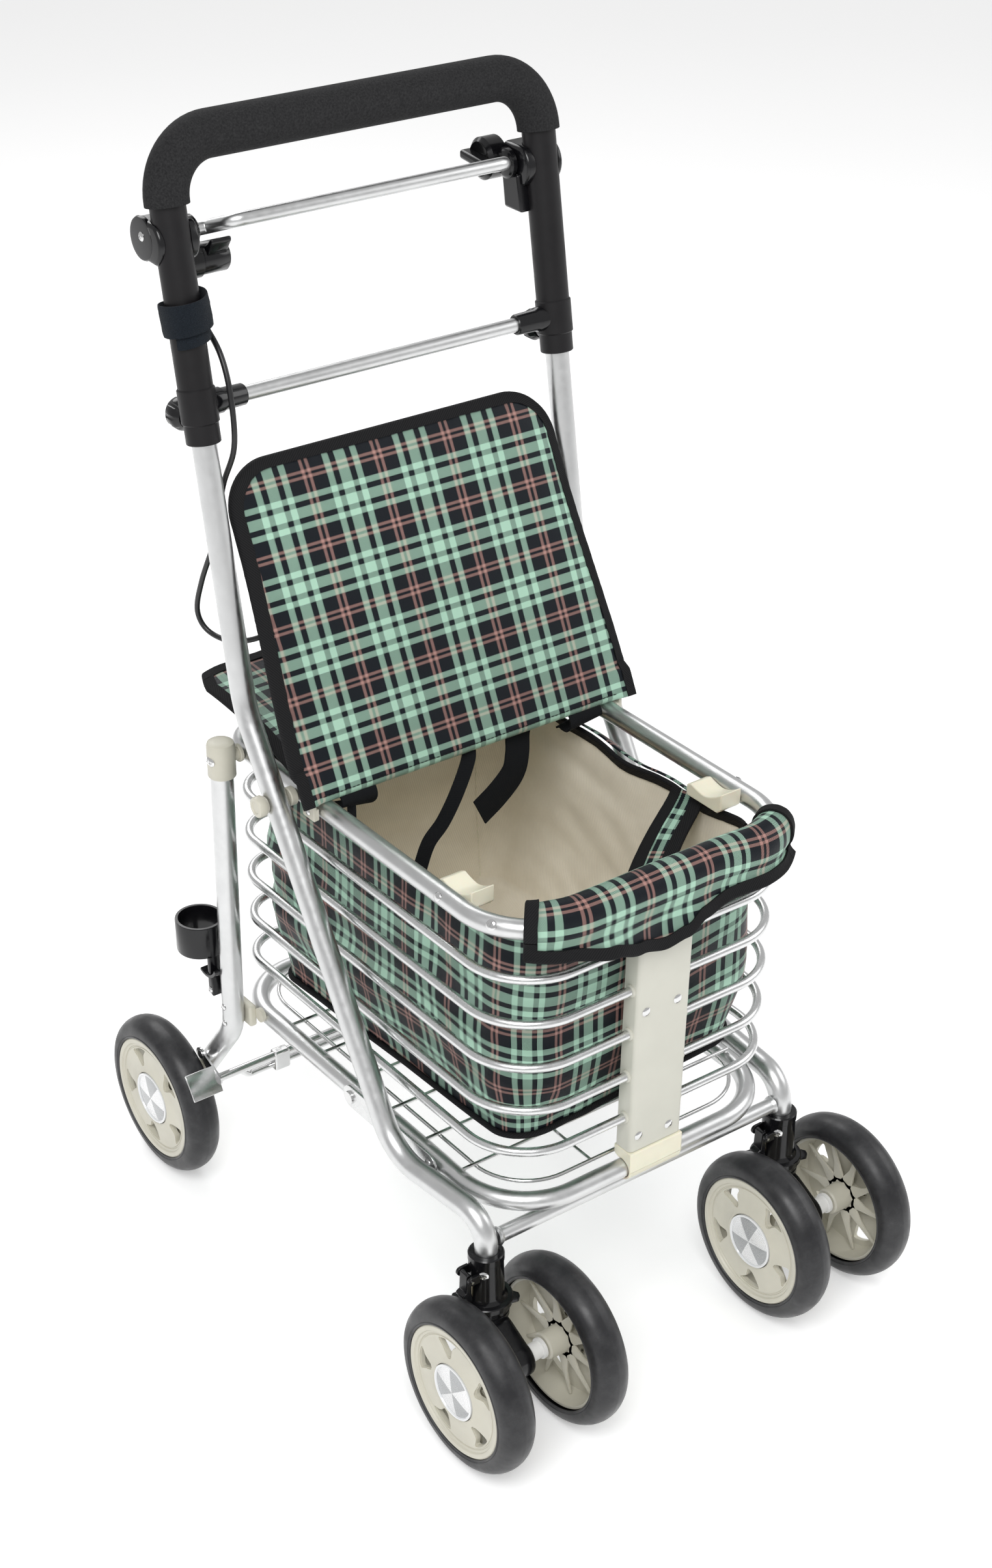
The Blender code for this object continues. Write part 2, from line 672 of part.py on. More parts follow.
def brake_bracket(body, side):
    """Black housing behind a handle leg, with the hub that the brake bar turns in."""
    y, z = BRAKE_PIVOT
    outer, inner = side * (SIDE_X + 0.0155), side * (SIDE_X - 0.0185)
    outline = arc((y, z), 0.0165, 60, -60, 6) + arc((y - 0.006, z - 0.001), 0.0165, 240, 120, 5)
    housing = piece(side_name("brake_bracket", side), prism(outline, outer, inner), BLACK, body)
    weld(housing, rod((inner + side * 0.002, y, z), (side * (SIDE_X - 0.0255), y, z), 0.0105, 14))
    if side < 0:
        inside = inner + side * 0.004
        weld(housing, rod((inside, *LEVER_PIVOT), (side * (SIDE_X - 0.0285), *LEVER_PIVOT), 0.0115, 14))
    else:
        foot = [(y - 0.018, z - 0.034), (y + 0.004, z - 0.034), (y + 0.008, z - 0.010),
                (y - 0.012, z - 0.006)]
        weld(housing, prism(foot, side * (SIDE_X - 0.0145), side * (SIDE_X - 0.0225)))
        weld(housing, rod((side * (SIDE_X - 0.015), y + 0.0205, z + 0.006),
                          (side * (SIDE_X - 0.0505), y + 0.0205, z + 0.006), 0.0115, 14))
    low_end, up = leg_axis(side)
    start = (z - 0.05 - HANDLE_LOW) / up.z
    end = (z + 0.05 - HANDLE_LOW) / up.z
    return cut(housing, rod(low_end + up * start, low_end + up * end, HANDLE_TUBE_R + 0.0005, 14))


def crossbar(body):
    """Silver bar between the handle's two sockets."""
    end = SIDE_X - 0.0275
    return piece("crossbar", crossbar_rod(-end, end, CROSSBAR_R), SILVER, body)


def wrist_strap(body):
    """Hook-and-loop strap wound round the left leg."""
    low, up = leg_axis(-1)
    turn = Matrix.Rotation(-HANDLE_TILT, 4, "X")
    profile = [(-0.018, HANDLE_TUBE_R + 0.0008), (-0.018, 0.0170), (-0.010, 0.0182), (0.014, 0.0182),
               (0.018, 0.0170), (0.018, HANDLE_TUBE_R + 0.0008)]
    bm = lathe(profile, (0, 0, 0), faces=14)
    place = low + up * ((0.800 - HANDLE_LOW) / up.z)
    bmesh.ops.transform(bm, matrix=Matrix.Translation(place) @ turn, verts=bm.verts)
    return piece("wrist_strap", bm, STRAP, body)


def brake_cable():
    """Cable from the left brake housing, round the side tube and down to the rear brake."""
    route = [
        (-0.1480, 0.2000, 0.8110), (-0.1440, 0.1930, 0.8000), (-0.1425, 0.1760, 0.7880),
        (-0.1440, 0.1520, 0.7720), (-0.1455, 0.1385, 0.7450), (-0.1465, 0.1360, 0.7080),
        (-0.1508, 0.1480, 0.6750), (-0.1500, 0.1640, 0.6300), (-0.1530, 0.1850, 0.5850),
        (-0.1530, 0.1950, 0.5550), (-0.1480, 0.1860, 0.5390), (-0.1380, 0.1620, 0.5380),
        (-0.1180, 0.1440, 0.5480), (-0.0850, 0.1560, 0.5640), (-0.0550, 0.1950, 0.5600),
        (-0.0400, 0.2280, 0.5200), (-0.0350, 0.2350, 0.4600), (-0.0320, 0.2330, 0.3800),
        (-0.0300, 0.2250, 0.3000), (-0.0300, 0.2160, 0.2200), (-0.0300, 0.2060, 0.1650),
        (-0.0300, 0.1850, 0.1450), (-0.0300, 0.1745, 0.1345),
    ]
    return piece("brake_cable", sweep(smooth_route(route, 3), 0.0022, 6, up=(1, 0, 0)), BLACK)


def smooth_route(points, steps):
    """Catmull-Rom curve through the points."""
    points = [Vector(p) for p in points]
    ends = [2 * points[0] - points[1], *points, 2 * points[-1] - points[-2]]
    path = []
    for a, b, c, d in zip(ends, ends[1:], ends[2:], ends[3:]):
        for k in range(steps):
            t = k / steps
            path.append(0.5 * (2 * b + (c - a) * t + (2 * a - 5 * b + 4 * c - d) * t ** 2
                               + (3 * b - a - 3 * c + d) * t ** 3))
    path.append(points[-1])
    return path


def brake_bar(body):
    """Silver squeeze bar whose bent ends turn in the two housings."""
    y, z = BRAKE_PIVOT
    end = SIDE_X - 0.0258
    front = (0.160, 0.8625)
    path = rounded_path(
        [
            (-end, y, z), (-end + 0.011, y, z), (-end + 0.017, *front),
            (end - 0.017, *front), (end - 0.011, y, z), (end, y, z),
        ],
        [0.006, 0.012, 0.012, 0.006],
        steps=3,
    )
    return piece("brake_bar", sweep(path, BRAKE_ROD_R, 10, up=(0, 0, 1)), SILVER, body)


def parking_lever(body):
    """Thumb lever beside the left housing, which holds the brake on."""
    y, z = LEVER_PIVOT
    outer, inner = SIDE_X - 0.0290, SIDE_X - 0.0520
    hub = piece("parking_lever", rod((-outer, y, z), (-inner, y, z), 0.0112, 14), BLACK, body)
    outline = [(y - 0.004, z + 0.006), (y - 0.011, z + 0.004), (y - 0.0165, z + 0.0125),
               (y - 0.0155, z + 0.0165), (y - 0.0105, z + 0.0155)]
    return weld(hub, prism(outline, -outer + 0.004, -inner - 0.004))


def adjust_knob(body, side):
    """Hand knob that clamps a leg at its height."""
    place = knob_place(side)
    bore, radius, start, end = 0.0028, 0.0120, 0.0042, 0.0215
    profile = [(start, bore), (start, 0.0085), (0.0090, radius), (end - 0.0025, radius),
               (end, 0.0095), (end, bore)]
    return piece(side_name("adjust_knob", side), lathe(profile, place, "Y", 12), BLACK, body)


# ---------------------------------------------------------------- rear brake
def rear_brake(body):
    """Bright yoke across the rear with a shoe over each rear tyre."""
    py, pz = YOKE_PIVOT
    reach = 0.0785
    inward = Vector((0, REAR_AXLE_Y - 0.1713, WHEEL_R - 0.1209)).normalized()
    shoe = Vector((0, REAR_AXLE_Y, WHEEL_R)) - inward * reach
    tangent = Vector((0, -inward.z, inward.y))
    x = REAR_LEG_X + SIDE_TUBE_R + 0.0022
    yoke = piece("rear_brake", rod((-x, shoe.y, shoe.z), (x, shoe.y, shoe.z), 0.004, 10), CHROME, body)
    twin_x, twin_y, twin_z = x - 0.030, shoe.y + 0.004, shoe.z - 0.0125
    weld(yoke, rod((-twin_x, twin_y, twin_z), (twin_x, twin_y, twin_z), 0.003, 8))
    for side in (-1, 1):
        weld(yoke, box((side * 0.112 - 0.008, shoe.y - 0.001, shoe.z - 0.0135),
                       (side * 0.112 + 0.008, shoe.y + 0.005, shoe.z + 0.001)))
        arm = arc((py, pz), 0.0065, -40, 150, 6)
        arm += [(shoe.y - 0.006, shoe.z + 0.002), (shoe.y + 0.002, shoe.z - 0.007)]
        weld(yoke, prism(arm, side * (x - 0.0014), side * (x + 0.0003)))
        half, thin = 0.011, 0.001
        corners = [shoe + tangent * t + inward * n
                   for t, n in ((-half, thin), (half, thin), (half, -thin), (-half, -thin))]
        outline = [(c.y, c.z) for c in corners]
        weld(yoke, prism(outline, side * (x - 0.001), side * 0.2065))
    tab = rod((-0.030, shoe.y, shoe.z), (-0.030, shoe.y + 0.002, shoe.z + 0.0115), 0.003, 8)
    return weld(yoke, tab)


# ---------------------------------------------------------------- front swivels
def caster_socket(side):
    """Black socket under a front stub, with ears for the swivel lock."""
    x = side * CASTER_X
    bore, flange, seat, seat_z = 0.0046, 0.0220, SIDE_TUBE_R + 2 * GAP, 0.1285
    profile = [(SOCKET_BASE, bore), (SOCKET_BASE, flange), (SOCKET_BASE + 0.006, flange),
               (SOCKET_BASE + 0.0075, 0.0150), (SOCKET_TOP, 0.0138), (SOCKET_TOP, seat), (seat_z, seat),
               (seat_z, bore)]
    socket = piece(side_name("caster_socket", side), lathe(profile, (x, CASTER_Y, 0), faces=16), BLACK)
    for flank in (-1, 1):
        low, high = sorted((flank * 0.0062, flank * 0.0090))
        weld(socket, box((x - 0.0225, CASTER_Y + low, 0.142), (x - 0.0128, CASTER_Y + high, 0.150)))
    return socket


def swivel_lock(body, side):
    """Small lever that locks a front swivel straight ahead."""
    x = side * CASTER_X
    outline = [(-0.0222, 0.1495), (-0.0178, 0.1495), (-0.0175, 0.130), (-0.0160, 0.1205), (-0.0200, 0.1205),
               (-0.0225, 0.126), (-0.0262, 0.128), (-0.0262, 0.131), (-0.0225, 0.133)]
    bm = bmesh.new()
    rings = [[bm.verts.new((x + dx, CASTER_Y + dy, z)) for dx, z in outline] for dy in (-0.005, 0.005)]
    bridge(bm, rings)
    return piece(side_name("swivel_lock", side), bm, BLACK, body)


def caster_fork(body, side):
    """Arm under a swivel, with the axle pressed through it."""
    x = side * CASTER_X
    top = SOCKET_BASE - 2 * GAP
    pin_top, pin_r, ring_r, ring_low = 0.126, 0.0040, 0.0195, top - 0.012
    profile = [(pin_top, 0.0), (pin_top, pin_r), (top, pin_r), (top, ring_r), (ring_low, ring_r),
               (ring_low, 0.0)]
    bm = bmesh.new()
    rings = []
    for z, radius in profile[1:-1]:
        rings.append([bm.verts.new((x + radius * math.cos(a), CASTER_Y + radius * math.sin(a), z))
                      for a in [2 * math.pi * k / 16 for k in range(16)]])
    bridge(bm, rings)
    fork = piece(side_name("caster_fork", side), bm, BLACK, body)
    nose = arc((FRONT_AXLE_Y, WHEEL_R), 0.0145, 100, 270, 7)
    arm = [(CASTER_Y + 0.014, 0.103), (CASTER_Y - 0.012, 0.103), *nose, (FRONT_AXLE_Y + 0.016, 0.0625),
           (CASTER_Y + 0.012, 0.088)]
    weld(fork, prism(arm, x - 0.0105, x + 0.0105))
    sleeve_end = TWIN_OFFSET + HUB_FACE - HUB_DEPTH - 2 * GAP
    axle_end = TWIN_OFFSET + HUB_FACE - AXLE_SHORT
    for end, radius in ((sleeve_end, 0.0075), (axle_end, AXLE_R)):
        weld(fork, rod((x - end, FRONT_AXLE_Y, WHEEL_R), (x + end, FRONT_AXLE_Y, WHEEL_R), radius, 12))
    return fork


# ---------------------------------------------------------------- wheels
def wheel(name, place, outward, body):
    """Tyre and hub about an axis along X; outward is the side with the hub's face."""
    half = TYRE_WIDTH / 2
    seat = RIM_R + GAP
    side = [(half, seat), (half - 0.0006, 0.0640), (half - 0.0045, 0.0708), (0.0045, WHEEL_R)]
    tread = [(-along, radius) for along, radius in side] + side[::-1]
    piece("tyre_" + name, lathe(tread, place, "X", WHEEL_FACES), TYRE, body)
    face, depth = HUB_FACE, HUB_DEPTH
    bore = AXLE_R + GAP
    dish, back, rear = face - 0.004, face - 0.0065, -half + 0.004
    profile = [(dish, bore), (dish, 0.0245), (face - 0.0005, 0.0260), (face - 0.0025, 0.0500),
               (face, 0.0540), (face, RIM_R), (rear, RIM_R), (rear, 0.0550), (back, 0.0525),
               (back, 0.0125), (face - depth, 0.0110), (face - depth, bore)]
    flipped = [(outward * along, radius) for along, radius in profile]
    hub = piece("hub_" + name, lathe(flipped, place, "X", WHEEL_FACES), BEIGE, body)
    windows = bmesh.new()
    for k in range(5):
        middle = math.radians(90 + 72 * k)
        corners = ((0.033, 0.10), (0.046, 0.24), (0.046, -0.20), (0.033, -0.02))
        rings = []
        for along in (face + 0.002, face - 0.010):
            offsets = [(outward * along, r * math.cos(middle + a), r * math.sin(middle + a))
                       for r, a in corners]
            rings.append([windows.verts.new(Vector(place) + Vector(offset)) for offset in offsets])
        bridge(windows, rings)
    return cut(hub, windows)


def build():
    clear_scene()
    for side in (-1, 1):
        side_tube(side)
        rear_leg(side)
        leg_cap(side)
        leg_spacer(side)
        rim_knob(side)
        ring_bracket(side)
        rim_stopper(side)
        caster_socket(side)
    top_rim()
    bottom_ring()
    basket_rods()
    front_plate()
    front_clip()
    floor_grid()
    front_cross_tube()
    cane_holder()
    bag()
    rear_flap()
    seat_hinge()
    brake_cable()

    seat_lid(pivot("seat_lid_axis", LID_HINGE))
    rear_brake(pivot("rear_brake_axis", (0, *YOKE_PIVOT)))

    handle = pivot("handle_slide", (0, handle_y(HANDLE_LOW), HANDLE_LOW))
    handle_tube(handle)
    foam_grip(handle)
    crossbar(handle)
    wrist_strap(handle)
    brake_bar(pivot("brake_bar_axis", (0, *BRAKE_PIVOT), handle))
    parking_lever(pivot("parking_lever_axis", (-0.125, *LEVER_PIVOT), handle))
    for side in (-1, 1):
        brake_bracket(handle, side)
        adjust_knob(pivot(side_name("adjust_knob_axis", side), knob_place(side), handle), side)

    for side in (-1, 1):
        label = "left" if side < 0 else "right"
        hub = (side * REAR_WHEEL_X, REAR_AXLE_Y, WHEEL_R)
        wheel("rear_" + label, hub, side, pivot(side_name("rear_axle_axis", side), hub))
        swivel = pivot(side_name("caster_swivel", side), (side * CASTER_X, CASTER_Y, SOCKET_BASE))
        caster_fork(swivel, side)
        lock = pivot(side_name("swivel_lock_axis", side), (side * CASTER_X - 0.020, CASTER_Y, 0.146))
        swivel_lock(lock, side)
        for outward, place in ((-1, "a"), (1, "b")):
            hub = (side * CASTER_X + outward * TWIN_OFFSET, FRONT_AXLE_Y, WHEEL_R)
            axis = pivot(f"front_axle_axis_{label}_{place}", hub, swivel)
            wheel(f"front_{label}_{place}", hub, outward, axis)


build()
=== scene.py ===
"""Looks of the shopping trolley: fine tubes and mouldings, plaid cloth, wheels and studio."""
import json
import math

import bmesh
import bpy
from mathutils import Matrix, Vector, noise


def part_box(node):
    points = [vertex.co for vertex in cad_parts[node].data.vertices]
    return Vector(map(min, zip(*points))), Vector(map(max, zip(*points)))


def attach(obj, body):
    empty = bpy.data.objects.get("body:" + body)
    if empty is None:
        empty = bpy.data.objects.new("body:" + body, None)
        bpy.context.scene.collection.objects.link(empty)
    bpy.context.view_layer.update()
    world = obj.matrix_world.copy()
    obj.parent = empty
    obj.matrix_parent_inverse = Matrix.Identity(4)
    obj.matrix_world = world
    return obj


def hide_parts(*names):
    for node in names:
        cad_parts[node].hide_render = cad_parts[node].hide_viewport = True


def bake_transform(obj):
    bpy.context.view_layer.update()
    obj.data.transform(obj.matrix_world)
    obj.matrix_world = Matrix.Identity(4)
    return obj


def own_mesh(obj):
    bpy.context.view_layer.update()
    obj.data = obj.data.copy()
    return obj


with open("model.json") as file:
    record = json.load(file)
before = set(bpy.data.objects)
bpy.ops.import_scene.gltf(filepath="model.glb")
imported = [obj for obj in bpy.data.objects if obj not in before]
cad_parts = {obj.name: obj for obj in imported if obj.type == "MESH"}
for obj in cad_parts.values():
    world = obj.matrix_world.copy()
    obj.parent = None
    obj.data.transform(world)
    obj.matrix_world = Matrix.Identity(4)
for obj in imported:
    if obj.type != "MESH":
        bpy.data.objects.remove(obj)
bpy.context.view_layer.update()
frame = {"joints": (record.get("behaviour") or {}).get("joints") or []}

SIDES = (-1, 1)
SIDE_NAME = {-1: "left", 1: "right"}


def middle(node):
    """Centre of a CAD node's box."""
    low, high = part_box(node)
    return (low + high) / 2


def joint(name):
    """A CAD joint's record."""
    return next(j for j in frame["joints"] if j["name"] == name)


# ---------------------------------------------------------------- dimensions, in metres
CLEAR = 0.0003
SIDE_TUBE_R = 0.0095
SIDE_X = abs(middle("adjust_knob_left").x)
LEG_X = 0.166
LEG_TOP_Y, LEG_TOP_Z = 0.15, 0.452
LEG_KNEE_Y, LEG_KNEE_Z = 0.1575, 0.18
HANDLE_R = 0.0132
HANDLE_TILT = math.radians(10.5)
LEG_TILT = Matrix.Rotation(-HANDLE_TILT, 4, "X")
HANDLE_LOW = 0.712
GRIP_LOW = 0.876
GRIP_Z = 0.917
GRIP_R = 0.0165
GRIP_BEND = 0.04
CROSSBAR_Z = middle("crossbar").z
RIM_R = 0.008
RIM_Z = middle("top_rim").z
RIM_CORNER = 0.06              # radius of the rim's front corners
RING_Z = middle("bottom_ring").z
BASKET_X = 0.14
BASKET_FRONT = -0.204
BASKET_REAR = 0.182
RIM_OUTER = BASKET_X + RIM_R + 0.0006
ROD_R = 0.0038
PLATE_HALF = (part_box("front_plate")[1].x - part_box("front_plate")[0].x) / 2
CASTER = Vector(joint("caster_right_swivel")["pos_m"])
SOCKET_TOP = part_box("caster_socket_left")[1].z
LID_HINGE = Vector(joint("seat_lid_fold")["pos_m"])
LID_LEAN = math.radians(26.7)
LID_HALF = 0.164
LID_TOP_HALF = 0.152
HEM_HALF = 0.15                # from the middle to the hinge feet
LID_LOW, LID_HIGH = -0.0145, 0.2465
LID_CORNER = 0.04
BRAKE_PIVOT = Vector(joint("brake_squeeze")["pos_m"])
LEVER_PIVOT = Vector(joint("parking_lever_turn")["pos_m"])
YOKE_PIVOT = Vector(joint("rear_brake_press")["pos_m"])

PERIOD = 0.0575                 # plaid repeat
BINDING = 0.0095                # visible width of the black binding
THREAD_R = 0.0004


def leg_y(z):
    """Y of the leaning upper tubes' middle line at a height."""
    return 0.1455 + math.tan(HANDLE_TILT) * (z - 0.7)


SIDE_BEND = Vector((SIDE_X, leg_y(0.51), 0.51))
SIDE_SLOPE = 0.62
SIDE_FLAT_Z = 0.193


def slope_y(z):
    """Y of the sloping lower side tube at a height."""
    return SIDE_BEND.y - SIDE_SLOPE * (SIDE_BEND.z - z)


# ---------------------------------------------------------------- materials
class Recipe:
    """A Principled material, built one node at a time."""

    def __init__(self, name, colour, roughness, metallic=0.0, **sockets):
        self.made = bpy.data.materials.new(name)
        self.made.use_nodes = True
        self.tree = self.made.node_tree
        self.shader = self.tree.nodes["Principled BSDF"]
        self.shader.inputs["Base Color"].default_value = (*colour, 1.0)
        self.shader.inputs["Roughness"].default_value = roughness
        self.shader.inputs["Metallic"].default_value = metallic
        for socket, value in sockets.items():
            self.shader.inputs[socket.replace("_", " ")].default_value = value

    def node(self, kind, settings=None, **inputs):
        """Add a node; each input is a value or another node's output."""
        made = self.tree.nodes.new("ShaderNode" + kind)
        for key, value in (settings or {}).items():
            setattr(made, key, value)
        for key, value in inputs.items():
            index = int(key[1:]) if key[0] == "i" and key[1:].isdigit() else key
            self.feed(made.inputs[index], value)
        return made

    def feed(self, socket, value):
        if isinstance(value, bpy.types.NodeSocket):
            self.tree.links.new(value, socket)
        else:
            socket.default_value = value

    def math(self, operation, first, second=0.0):
        """A Math node's result."""
        return self.node("Math", {"operation": operation}, i0=first, i1=second).outputs[0]

    def ramp(self, factor, stops, interpolation="LINEAR"):
        """A colour ramp; stops are (place, colour)."""
        made = self.node("ValToRGB", i0=factor)
        ramp = made.color_ramp
        ramp.interpolation = interpolation
        while len(ramp.elements) < len(stops):
            ramp.elements.new(1.0)
        for element, (place, colour) in zip(ramp.elements, stops):
            element.position = place
            element.color = (*colour, 1.0)
        return made.outputs[0]

    def mix(self, factor, first, second, blend="MIX"):
        made = self.node("Mix", {"data_type": "RGBA", "blend_type": blend}, i0=factor)
        self.feed(made.inputs[6], first)
        self.feed(made.inputs[7], second)
        return made.outputs[2]

    def place(self, scale=(1, 1, 1), source="Object"):
        """Texture coordinates, scaled."""
        coordinates = self.node("TexCoord").outputs[source]
        return self.node("Mapping", i0=coordinates, i3=scale).outputs[0]

    def noise(self, scale, detail=4.0, where=None, rough=0.55):
        where = where or self.place()
        return self.node("TexNoise", i0=where, Scale=scale, Detail=detail, Roughness=rough).outputs[0]

    def vary(self, socket, factor, low, high):
        """Drive a socket between two values."""
        made = self.node("MapRange", i0=factor, i1=0.3, i2=0.7, i3=low, i4=high)
        self.tree.links.new(made.outputs[0], self.shader.inputs[socket])

    def bump(self, height, strength, distance):
        below = self.shader.inputs["Normal"].links
        made = self.node("Bump", Strength=strength, Distance=distance, Height=height)
        if below:
            self.tree.links.new(below[0].from_socket, made.inputs["Normal"])
        self.tree.links.new(made.outputs[0], self.shader.inputs["Normal"])

    def grey(self, value):
        """A number as a grey."""
        return self.node("CombineXYZ", i0=value, i1=value, i2=value).outputs[0]

    def colour(self, value):
        self.tree.links.new(value, self.shader.inputs["Base Color"])


def speckle(colour, change):
    """Two shades either side of a colour, for a ramp."""
    darker = tuple(c * (1 - change) for c in colour)
    lighter = tuple(min(1.0, c * (1 + change)) for c in colour)
    return [(0.35, darker), (0.65, lighter)]


def tube_metal(name, colour, roughness, streak=0.03):
    """Drawn satin tube: faint lines along it and soft uneven gloss."""
    made = Recipe(name, colour, roughness, 1.0)
    cloud = made.noise(38.0, 5.0)
    made.colour(made.ramp(cloud, speckle(colour, 0.035)))
    made.vary("Roughness", made.noise(160.0, 3.0), roughness - 0.05, roughness + 0.07)
    lines = made.noise(1.0, 2.0, made.place((14, 1800, 1), "UV"))
    made.bump(lines, streak, 0.0002)
    return made.made


def plastic(name, colour, roughness, grain=0.08, size=900.0, change=0.04, **sockets):
    """Moulded plastic with a fine grain and a slightly uneven gloss."""
    made = Recipe(name, colour, roughness, **sockets)
    made.colour(made.ramp(made.noise(26.0, 4.0), speckle(colour, change)))
    made.vary("Roughness", made.noise(90.0, 4.0), roughness - 0.06, roughness + 0.08)
    made.bump(made.noise(size, 3.0), grain, 0.00015)
    return made.made


def foam():
    """Closed-cell foam: matte, with tiny pits."""
    made = Recipe("grip_foam_look", (0.016, 0.016, 0.017), 0.85, Specular_IOR_Level=0.22)
    made.colour(made.ramp(made.noise(700.0, 4.0), [(0.3, (0.009, 0.009, 0.01)),
                                                   (0.7, (0.026, 0.026, 0.027))]))
    cells = made.node("TexVoronoi", i0=made.place(), Scale=1500.0).outputs[0]
    made.bump(cells, 0.45, 0.0002)
    made.bump(made.noise(60.0, 3.0), 0.1, 0.0006)
    return made.made


def rubber():
    """Tyre rubber: dark, a little glossy, with scuffs on the tread."""
    made = Recipe("tyre_look", (0.022, 0.022, 0.024), 0.36, Specular_IOR_Level=0.45)
    scuff = made.noise(48.0, 8.0, rough=0.7)
    made.colour(made.ramp(scuff, [(0.42, (0.014, 0.014, 0.016)), (0.6, (0.028, 0.028, 0.03)),
                                  (0.8, (0.062, 0.062, 0.065))]))
    made.vary("Roughness", made.noise(60.0, 6.0), 0.3, 0.5)
    made.bump(made.noise(1200.0, 3.0), 0.1, 0.0002)
    return made.made


NAVY = (0.0062, 0.0088, 0.0125)
MINT = (0.395, 0.615, 0.485)
PINK = (0.4, 0.225, 0.195)
TWILL = 0.00118


def plaid():
    """Coated tartan cloth: thread-wise colours, twill hatching and a leather-like grain."""
    made = Recipe("plaid_look", NAVY, 0.44, Specular_IOR_Level=0.17)
    where = made.place((1 / PERIOD, 1 / PERIOD, 1), "UV")
    split = made.node("SeparateXYZ", i0=where)
    stripes = []
    stops = [(0.0, MINT), (0.072, NAVY), (0.15, MINT), (0.238, NAVY), (0.436, PINK), (0.478, NAVY)]
    for axis in (0, 1):
        phase = made.math("FRACT", made.math("ADD", split.outputs[axis], 40.0))
        fold = made.math("ABSOLUTE", made.math("SUBTRACT", phase, 0.5))
        stripes.append(made.ramp(fold, stops, "CONSTANT"))
    diagonal = made.math("ADD", split.outputs[0], split.outputs[1])
    hatch = made.math("FRACT", made.math("MULTIPLY", made.math("ADD", diagonal, 40.0), PERIOD / TWILL))
    mask = made.node("MapRange", {"interpolation_type": "SMOOTHSTEP"}, i0=made.math("PINGPONG", hatch, 0.5),
                     i1=0.17, i2=0.33, i3=0.0, i4=1.0).outputs[0]
    cloth = made.mix(mask, stripes[0], stripes[1])
    tone = made.ramp(made.noise(9.0, 3.0), [(0.3, (0.86, 0.86, 0.86)), (0.7, (1.0, 1.0, 1.0))])
    made.colour(made.mix(1.0, cloth, tone, "MULTIPLY"))
    flat = made.place((1, 1, 1), "UV")
    grain = made.node("TexVoronoi", {"feature": "SMOOTH_F1"}, i0=flat, Scale=1000.0,
                      Smoothness=0.6).outputs[0]
    made.bump(grain, 0.3, 0.00025)
    made.bump(mask, 0.08, 0.0001)
    made.vary("Roughness", made.noise(500.0, 3.0), 0.36, 0.5)
    return made.made


def lining():
    """Cream ribbed lining cloth."""
    made = Recipe("lining_look", (0.82, 0.76, 0.63), 0.8, Sheen_Weight=0.15, Sheen_Roughness=0.5)
    flat = made.place((1, 1, 1), "UV")
    split = made.node("SeparateXYZ", i0=flat)
    slant = made.math("ADD", split.outputs[0], made.math("MULTIPLY", split.outputs[1], 0.25))
    rib = made.math("SINE", made.math("MULTIPLY", slant, 2 * math.pi / 0.0021))
    cross = made.math("SINE", made.math("MULTIPLY", split.outputs[1], 2 * math.pi / 0.0007))
    cloud = made.noise(30.0, 4.0, flat)
    base = made.ramp(cloud, [(0.3, (0.8, 0.735, 0.605)), (0.7, (0.88, 0.82, 0.69))])
    shade = made.node("MapRange", i0=rib, i1=-1.0, i2=1.0, i3=0.9, i4=1.0).outputs[0]
    made.colour(made.mix(1.0, base, made.grey(shade), "MULTIPLY"))
    made.bump(rib, 0.25, 0.0003)
    made.bump(cross, 0.1, 0.0002)
    return made.made


def tape(name, colour, roughness=0.75, wide=0.0024, **sockets):
    """Woven tape with herringbone ridges; its UV runs along, then across."""
    made = Recipe(name, colour, roughness, **sockets)
    split = made.node("SeparateXYZ", i0=made.place((1, 1, 1), "UV"))
    across = made.math("ABSOLUTE", split.outputs[1])
    slant = made.math("ADD", split.outputs[0], made.math("MULTIPLY", across, 1.2))
    ridge = made.math("PINGPONG", made.math("MULTIPLY", slant, 2.0 / wide), 1.0)
    thread = made.math("SINE", made.math("MULTIPLY", split.outputs[1], 2 * math.pi / 0.0006))
    # The ridges are painted lighter: a painted highlight along the herringbone ridges of an evenly coloured
    # tape.
    lighter = tuple(c * 2.2 + 0.004 for c in colour)
    made.colour(made.mix(ridge, (*colour, 1.0), (*lighter, 1.0)))
    made.bump(ridge, 0.55, 0.0004)
    made.bump(thread, 0.15, 0.0002)
    return made.made


def hook_cloth():
    """Fuzzy hook-and-loop strap."""
    made = Recipe("hook_look", (0.006, 0.009, 0.013), 0.95, Specular_IOR_Level=0.15, Sheen_Weight=0.06,
                  Sheen_Roughness=0.5)
    fuzz = made.noise(1400.0, 6.0, rough=0.8)
    made.colour(made.ramp(fuzz, [(0.35, (0.003, 0.005, 0.008)), (0.7, (0.016, 0.022, 0.03))]))
    made.bump(fuzz, 0.8, 0.0007)
    return made.made


